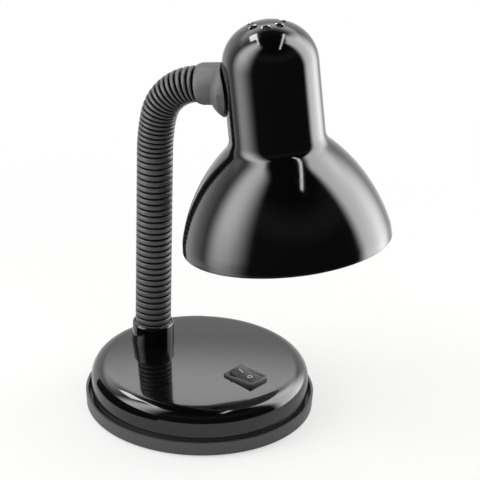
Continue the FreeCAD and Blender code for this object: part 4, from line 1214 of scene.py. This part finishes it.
# the tapering end of the cap, down to the contact at its tip
CAP_TAPER = ((CAP_RADIUS - 1.4, CAP_HIGH + 0.5), (4.75, CAP_HIGH + 2.8), (4.5, CAP_END), (0.5, CAP_END))
cap_rings = []
for ring in range(int((CAP_HIGH - CAP_LOW) / THREAD_PITCH) * WAVE_RINGS + 1):
    depth = THREAD_DEPTH * (1 + math.cos(ring / WAVE_RINGS * 2 * math.pi)) / 2
    cap_rings.append((CAP_RADIUS - depth, CAP_LOW + ring * THREAD_PITCH / WAVE_RINGS))
cap_rings += [(CAP_RADIUS - THREAD_DEPTH, CAP_HIGH), *CAP_TAPER]
cap = drawn_up("bulb_screw_cap", cap_rings, NARROW_SIDES)
bpy.ops.mesh.merge(type="CENTER")
tidy_up(cap, angle=50)
apply_modifier(cap, "SOLIDIFY", thickness=CAP_WALL * MM, offset=-1)
settle(cap, head)
cap.data.materials.append(tinplate)
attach(cap, "head")
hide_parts("bulb_cap")
print("screw cap:", len(cap.data.polygons), "faces")

# %% [markdown]
# ## The switch
# The frame is a snap-in moulding: a flat block whose top is inset and pushed down into a window, and
# whose body is pushed down from below. A Boolean could cut the window too, but inset and extrude
# leave clean faces that a bevel can follow.
# %% Shape the switch frame
SWITCH_SEAT = 28.2
BEZEL_TOP = 30.7
WINDOW = (17.2, 10.7)
WINDOW_INSET = 1.9
WINDOW_DEPTH = 7.0
BODY_INSET = 0.9
BODY_LOW = 16.7
bezel_height = BEZEL_TOP - SWITCH_SEAT
bezel_middle = (SWITCH_X, 0, (BEZEL_TOP + SWITCH_SEAT) / 2)
frame_block = block("switch_frame", (*BEZEL, bezel_height), bezel_middle)
pick(frame_block, "FACE", lambda face: face.normal.z > 0.9)
bpy.ops.mesh.inset(thickness=WINDOW_INSET * MM)
to_window = [window / (bezel - 2 * WINDOW_INSET) for window, bezel in zip(WINDOW, BEZEL)]
window_middle = (SWITCH_X * MM, 0, BEZEL_TOP * MM)
bpy.ops.transform.resize(value=(*to_window, 1), center_override=window_middle)
down = (0, 0, -WINDOW_DEPTH * MM)
bpy.ops.mesh.extrude_region_move(TRANSFORM_OT_translate={"value": down})
under = (SWITCH_SEAT + 0.1) * MM
pick(frame_block, "FACE", lambda face: face.normal.z < -0.9 and face.center.z < under)
bpy.ops.mesh.inset(thickness=BODY_INSET * MM)
down = (0, 0, (BODY_LOW - SWITCH_SEAT) * MM)
bpy.ops.mesh.extrude_region_move(TRANSFORM_OT_translate={"value": down})
print("switch frame:", round(BEZEL_TOP - BODY_LOW, 1), "mm high, its window", WINDOW_DEPTH, "mm deep")

# %% [markdown]
# A mould leaves no sharp rim. A bevel rounds the edges on top and the upright ones at the corners,
# and both kinds are picked by where their ends lie.
# %% Round the frame's rim
BEZEL_ROUND = 0.5
NEAR = 0.01


def rounded_edge(edge):
    """True for the edges round the top, and for the upright ones at the frame's corners."""
    first, second = (frame_block.data.vertices[index].co / MM for index in edge.vertices)
    both_up = min(first.z, second.z) > BEZEL_TOP - NEAR
    one_up = max(first.z, second.z) > BEZEL_TOP - NEAR
    stands = abs(first.z - second.z) > bezel_height / 2
    outside = abs(abs(first.y) - BEZEL[1] / 2) < NEAR
    return both_up or one_up and stands and outside


pick(frame_block, "EDGE", rounded_edge)
bpy.ops.mesh.bevel(offset=BEZEL_ROUND * MM, segments=3)
take(frame_block)
bpy.ops.object.shade_smooth_by_angle(angle=math.radians(35))
frame_block.data.materials.append(frame_black)
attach(frame_block, "base")
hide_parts("switch_housing")
print("switch frame:", len(frame_block.data.polygons), "faces")

# %% [markdown]
# The rocker keeps its CAD form, which a sculpted copy could only miss. A copy of its mesh is welded,
# its flat faces are joined, and a small bevel takes the sharpness off its edges, as a mould does.
# %% Soften the rocker
ROCKER_EDGE = 0.22
FLAT = math.radians(0.5)

leave_all()
rocker = bpy.data.objects.new("rocker_cap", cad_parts["switch_rocker"].data.copy())
rocker.data.name = "rocker_cap"
bpy.context.scene.collection.objects.link(rocker)
take(rocker)
bpy.ops.object.mode_set(mode="EDIT")
bpy.ops.mesh.select_all(action="SELECT")
bpy.ops.mesh.remove_doubles(threshold=SEAM)
bpy.ops.mesh.dissolve_limited(angle_limit=FLAT)
bpy.ops.object.mode_set(mode="OBJECT")
apply_modifier(
    rocker,
    "BEVEL",
    width=ROCKER_EDGE * MM,
    segments=2,
    limit_method="ANGLE",
    angle_limit=CORNER,
)
take(rocker)
bpy.ops.object.shade_smooth_by_angle(angle=CORNER)
rocker.data.materials.clear()
rocker.data.materials.append(rocker_black)
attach(rocker, "rocker")
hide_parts("switch_rocker")
print("rocker:", len(rocker.data.polygons), "faces")

# %% [markdown]
# ## Floor, light and background
# The lamp stands on a plain white floor. A real studio curves its paper up behind the object. Here
# the floor fades out into the white background instead, so that no horizon shows, and from below it
# is clear, so that the pad shows.
# %% Lay the floor
FLOOR_RADIUS = 2.5
FLOOR_SIDES = 96
FLOOR_DROP = 0.2
FADE_START = 0.15
FADE_END = 0.4
WHITENING = 0.6

leave_all()
bpy.ops.mesh.primitive_circle_add(
    vertices=FLOOR_SIDES, radius=FLOOR_RADIUS, fill_type="NGON", location=(0, 0, -FLOOR_DROP * MM)
)
floor = bpy.context.object
floor.name = "floor"
paper, tree, shader, place = finish("white_paper", "f0f0ee", 0.9)
tree.nodes.remove(shader)
output = tree.nodes["Material Output"]
ray = add(tree, "ShaderNodeLightPath")
matte = add(tree, "ShaderNodeBsdfDiffuse", {"Color": paint("eeeeec")})
glow = add(tree, "ShaderNodeEmission", {"Color": paint("ffffff"), "Strength": 1.0})
see_through = add(tree, "ShaderNodeBsdfTransparent")
whiter = measure(tree, "MULTIPLY", ray.outputs["Is Camera Ray"], WHITENING)
lit = add(
    tree,
    "ShaderNodeMixShader",
    links={0: whiter, 1: matte.outputs["BSDF"], 2: glow.outputs["Emission"]},
)
distance = add(tree, "ShaderNodeVectorMath", {"operation": "LENGTH"}, {0: place})
fade = add(
    tree,
    "ShaderNodeMapRange",
    {"interpolation_type": "SMOOTHSTEP", "From Min": FADE_START, "From Max": FADE_END},
    {"Value": distance.outputs["Value"]},
)
from_below = add(tree, "ShaderNodeNewGeometry").outputs["Backfacing"]
clear = measure(tree, "MAXIMUM", fade.outputs["Result"], from_below)
blend_out = add(
    tree,
    "ShaderNodeMixShader",
    links={0: clear, 1: lit.outputs["Shader"], 2: see_through.outputs["BSDF"]},
)
tree.links.new(blend_out.outputs["Shader"], output.inputs["Surface"])
floor.data.materials.append(paper)
floor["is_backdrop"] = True
print("floor fades out from", FADE_START, "to", FADE_END, "metres")

# %% [markdown]
# Two soft boxes light it, a broad one on the right and a small one on the left. A gloss black thing
# shows its lights as mirror images, and these have to be drawn with care, so the boxes give only
# their light, and the world further down draws what the lamp mirrors.
# %% Light the studio
SOFT_BOXES = {
    # name: (degrees right of the camera, distance, height of its middle, width, length, radiance)
    "right_box": (113, 0.46, 0.6, 0.43, 1.2, 0.5),
    "left_box": (-75, 0.5, 0.5, 0.3, 0.8, 1.3),
}
towards_camera = Vector((-VIEW_HEADING[0], -VIEW_HEADING[1], 0)).normalized()
upright = Vector((0, 0, 1))
for name, (turn, far, height, width, length, radiance) in SOFT_BOXES.items():
    light = bpy.data.lights.new(name, "AREA")
    light.shape = "RECTANGLE"
    light.size = width
    light.size_y = length
    light.energy = radiance * width * length * math.pi ** 2
    box = bpy.data.objects.new(name, light)
    bpy.context.scene.collection.objects.link(box)
    way = towards_camera * math.cos(math.radians(turn)) + level_right * math.sin(math.radians(turn))
    box.matrix_world = axes_at(upright.cross(way), upright, way, way * far + upright * height)
    box.visible_camera = False
    box.visible_glossy = False
print("soft boxes:", ", ".join(SOFT_BOXES))

# %% [markdown]
# A glossy black thing on white loses its outline where it mirrors the white floor behind it.
# Photographers lay a black card there, just out of the picture, and it draws the edge again. A
# second card stands low on the left, and darkens the left end of the base's rounding.
# %% Put black cards beside the lamp
card_black, tree, shader, place = finish("black_card", "050505", 0.9)
grain(tree, shader, place, 0.6, 0.02)


def put_card(name, matrix, width, length):
    """A black card that only mirrors see, with its width and length along the matrix's X and Y."""
    leave_all()
    bpy.ops.mesh.primitive_plane_add(size=1)
    card = bpy.context.object
    card.name = name
    take(card)
    card.matrix_world = matrix
    card.scale = (width, length, 1)
    bpy.ops.object.transform_apply(location=True, rotation=True, scale=True)
    card.data.materials.append(card_black)
    card.visible_camera = False
    card.visible_diffuse = False
    card.visible_shadow = False
    card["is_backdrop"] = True


# metres: to the right, behind the lamp, and above the floor; then width and length
LYING_PLACE = (-0.05, 0.28, 0.0005)
LYING_SIZE = (0.1, 0.34)
lie = level_right * LYING_PLACE[0] - towards_camera * LYING_PLACE[1] + upright * LYING_PLACE[2]
put_card("lying_card", axes_at(level_right, -towards_camera, upright, lie), *LYING_SIZE)

# degrees right of the camera, distance, and the gap under it; then width and height
CARD_TURN = math.radians(-68)
CARD_DISTANCE = 0.1
CARD_GAP = 0.001
CARD_SIZE = (0.15, 0.04)
way = towards_camera * math.cos(CARD_TURN) + level_right * math.sin(CARD_TURN)
stand = way * CARD_DISTANCE + upright * (CARD_SIZE[1] / 2 + CARD_GAP)
put_card("standing_card", axes_at(upright.cross(way), upright, way, stand), *CARD_SIZE)
print("two black cards beside the lamp")

# %% [markdown]
# The world is three things in one: plain white to the camera, a soft even light on the lamp, and to
# mirror rays a studio of panels and lamps. They could be real lit planes, but shares of a ray's
# direction draw them with soft edges, and cost no time. These helpers measure that direction.
# %% Fill the world
world = bpy.data.worlds.new("studio")
bpy.context.scene.world = world
world.use_nodes = True
tree = world.node_tree
tree.nodes.clear()
ray = add(tree, "ShaderNodeLightPath")
direction = add(tree, "ShaderNodeTexCoord").outputs["Generated"]


def ramp(tree, source, start, end, first, last):
    """A number that goes softly from one value to another while its source goes from start to end."""
    settings = {
        "interpolation_type": "SMOOTHSTEP",
        "From Min": start,
        "From Max": end,
        "To Min": first,
        "To Max": last,
    }
    return add(tree, "ShaderNodeMapRange", settings, {"Value": source}).outputs["Result"]


def product(tree, *values):
    """All the given values multiplied."""
    result = values[0]
    for value in values[1:]:
        result = measure(tree, "MULTIPLY", result, value)
    return result


def part_along(tree, axis):
    """How much of the ray's direction lies along an axis."""
    settings = {"operation": "DOT_PRODUCT", 1: axis}
    return add(tree, "ShaderNodeVectorMath", settings, {0: direction}).outputs["Value"]


near, aside, rise = (part_along(tree, axis) for axis in (towards_camera, level_right, upright))
turn = measure(tree, "DEGREES", measure(tree, "ARCTAN2", aside, near))
print("world turned to the camera")

# %% [markdown]
# Behind the camera it is dark, so the middle of bell and base stays black. A wall behind the lamp
# brightens upwards to a dark ceiling. Tall panels stand at the sides and give bell and neck their
# long strips.
# %% Put the wall and the panels into the mirrors
STANDING = {
    # name: (degrees right of the camera where it starts and is full, and where it fades and ends,
    # then its radiance low down and high up)
    "right_panel": (80, 96, 118, 150, 6.4, 6.4),
    "left_panel": (-106, -82, -78, -40, 3.0, 6.6),
    "left_wall": (-150, -130, -110, -94, 0.4, 0.35),
}
# shares of a ray's direction where a soft change starts and ends, then the strengths there
WALL = (0.1, 0.85, 0.03, 1.0)
WALL_TOP = (0.4, 0.56, 0.95, 2.8)
CEILING = (0.6, 0.85, 1.0, 0.02)
PANEL_TOP = (0.86, 0.93, 1.0, 0.0)
PANEL_HEIGHT = (-0.35, 0.45)
behind = measure(tree, "MULTIPLY", near, -1.0)
wall = ramp(tree, behind, *WALL)
brighter_up = ramp(tree, rise, *WALL_TOP)
below_ceiling = ramp(tree, rise, *CEILING)
mirror_light = product(tree, wall, brighter_up, below_ceiling)
for start, full, fade, end, low, high in STANDING.values():
    panel = product(
        tree,
        ramp(tree, turn, start, full, 0.0, 1.0),
        ramp(tree, turn, fade, end, 1.0, 0.0),
        ramp(tree, rise, *PANEL_TOP),
        ramp(tree, rise, *PANEL_HEIGHT, low, high),
    )
    mirror_light = measure(tree, "ADD", mirror_light, panel)
print("mirrors show a wall and", len(STANDING), "panels")

# %% [markdown]
# Small lamps hang overhead and give the dome its two marks. Each is a flat rectangle whose edges are
# shares of its height, so the direction of a ray alone says whether it meets the lamp.
# %% Hang the lamps in the mirrors
HANGING = {
    # name: (left and right edge, far and near edge, as shares of its height; radiance)
    "right_lamp": (0.31, 0.37, -0.55, 0.45, 9.0),
    "left_lamp": (-0.78, -0.46, -0.7, -0.26, 11.0),
    "left_tail": (-0.51, -0.45, -0.3, 0.12, 9.0),
}
SOFT_EDGE = 0.02
OVERHEAD = (0.3, 0.4)
across = measure(tree, "DIVIDE", aside, rise)
along = measure(tree, "DIVIDE", near, rise)
overhead = ramp(tree, rise, *OVERHEAD, 0.0, 1.0)


def from_to(source, start, end, strength):
    """A strength between two edges, and none outside them."""
    rising = ramp(tree, source, start - SOFT_EDGE, start + SOFT_EDGE, 0.0, 1.0)
    falling = ramp(tree, source, end - SOFT_EDGE, end + SOFT_EDGE, strength, 0.0)
    return measure(tree, "MULTIPLY", rising, falling)


for left_edge, right_edge, far_edge, near_edge, radiance in HANGING.values():
    width = from_to(across, left_edge, right_edge, 1.0)
    depth = from_to(along, far_edge, near_edge, radiance)
    lamp = product(tree, overhead, width, depth)
    mirror_light = measure(tree, "ADD", mirror_light, lamp)
print("mirrors show", len(HANGING), "lamps overhead")

# %% [markdown]
# Light Path tells which kind of ray asks. Mirror rays get the studio, all others the even light,
# and the camera, or a ray through glass, gets plain white.
# %% Give each kind of ray its world
# the even light is full on the left and weaker on the right: where it changes, and its strengths
FILL = (-1.0, 0.3, 1.0, 0.65)
mirrored = add(tree, "ShaderNodeBackground", {"Color": paint("ffffff")}, {"Strength": mirror_light})
fill_light = ramp(tree, aside, *FILL)
fill = add(tree, "ShaderNodeBackground", {"Color": paint("ffffff")}, {"Strength": fill_light})
white = add(tree, "ShaderNodeBackground", {"Color": paint("ffffff"), "Strength": 1.0})
in_mirror = add(
    tree,
    "ShaderNodeMixShader",
    links={
        0: ray.outputs["Is Glossy Ray"],
        1: fill.outputs["Background"],
        2: mirrored.outputs["Background"],
    },
)
direct = measure(tree, "MAXIMUM", ray.outputs["Is Camera Ray"], ray.outputs["Is Transmission Ray"])
seen = add(
    tree,
    "ShaderNodeMixShader",
    links={0: direct, 1: in_mirror.outputs["Shader"], 2: white.outputs["Background"]},
)
add(tree, "ShaderNodeOutputWorld", links={"Surface": seen.outputs["Shader"]})
bpy.context.scene.view_settings.view_transform = "Standard"
print("world: white to the camera, panels and lamps to mirrors")

# %% [markdown]
# ## Sizes and finish
# The dressed lamp has to stay as large as its frame.
# %% Write the sizes and finish
bpy.data.objects.remove(neck_line)
low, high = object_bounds()
print("box:", [round(x, 4) for x in (*low, *high)])
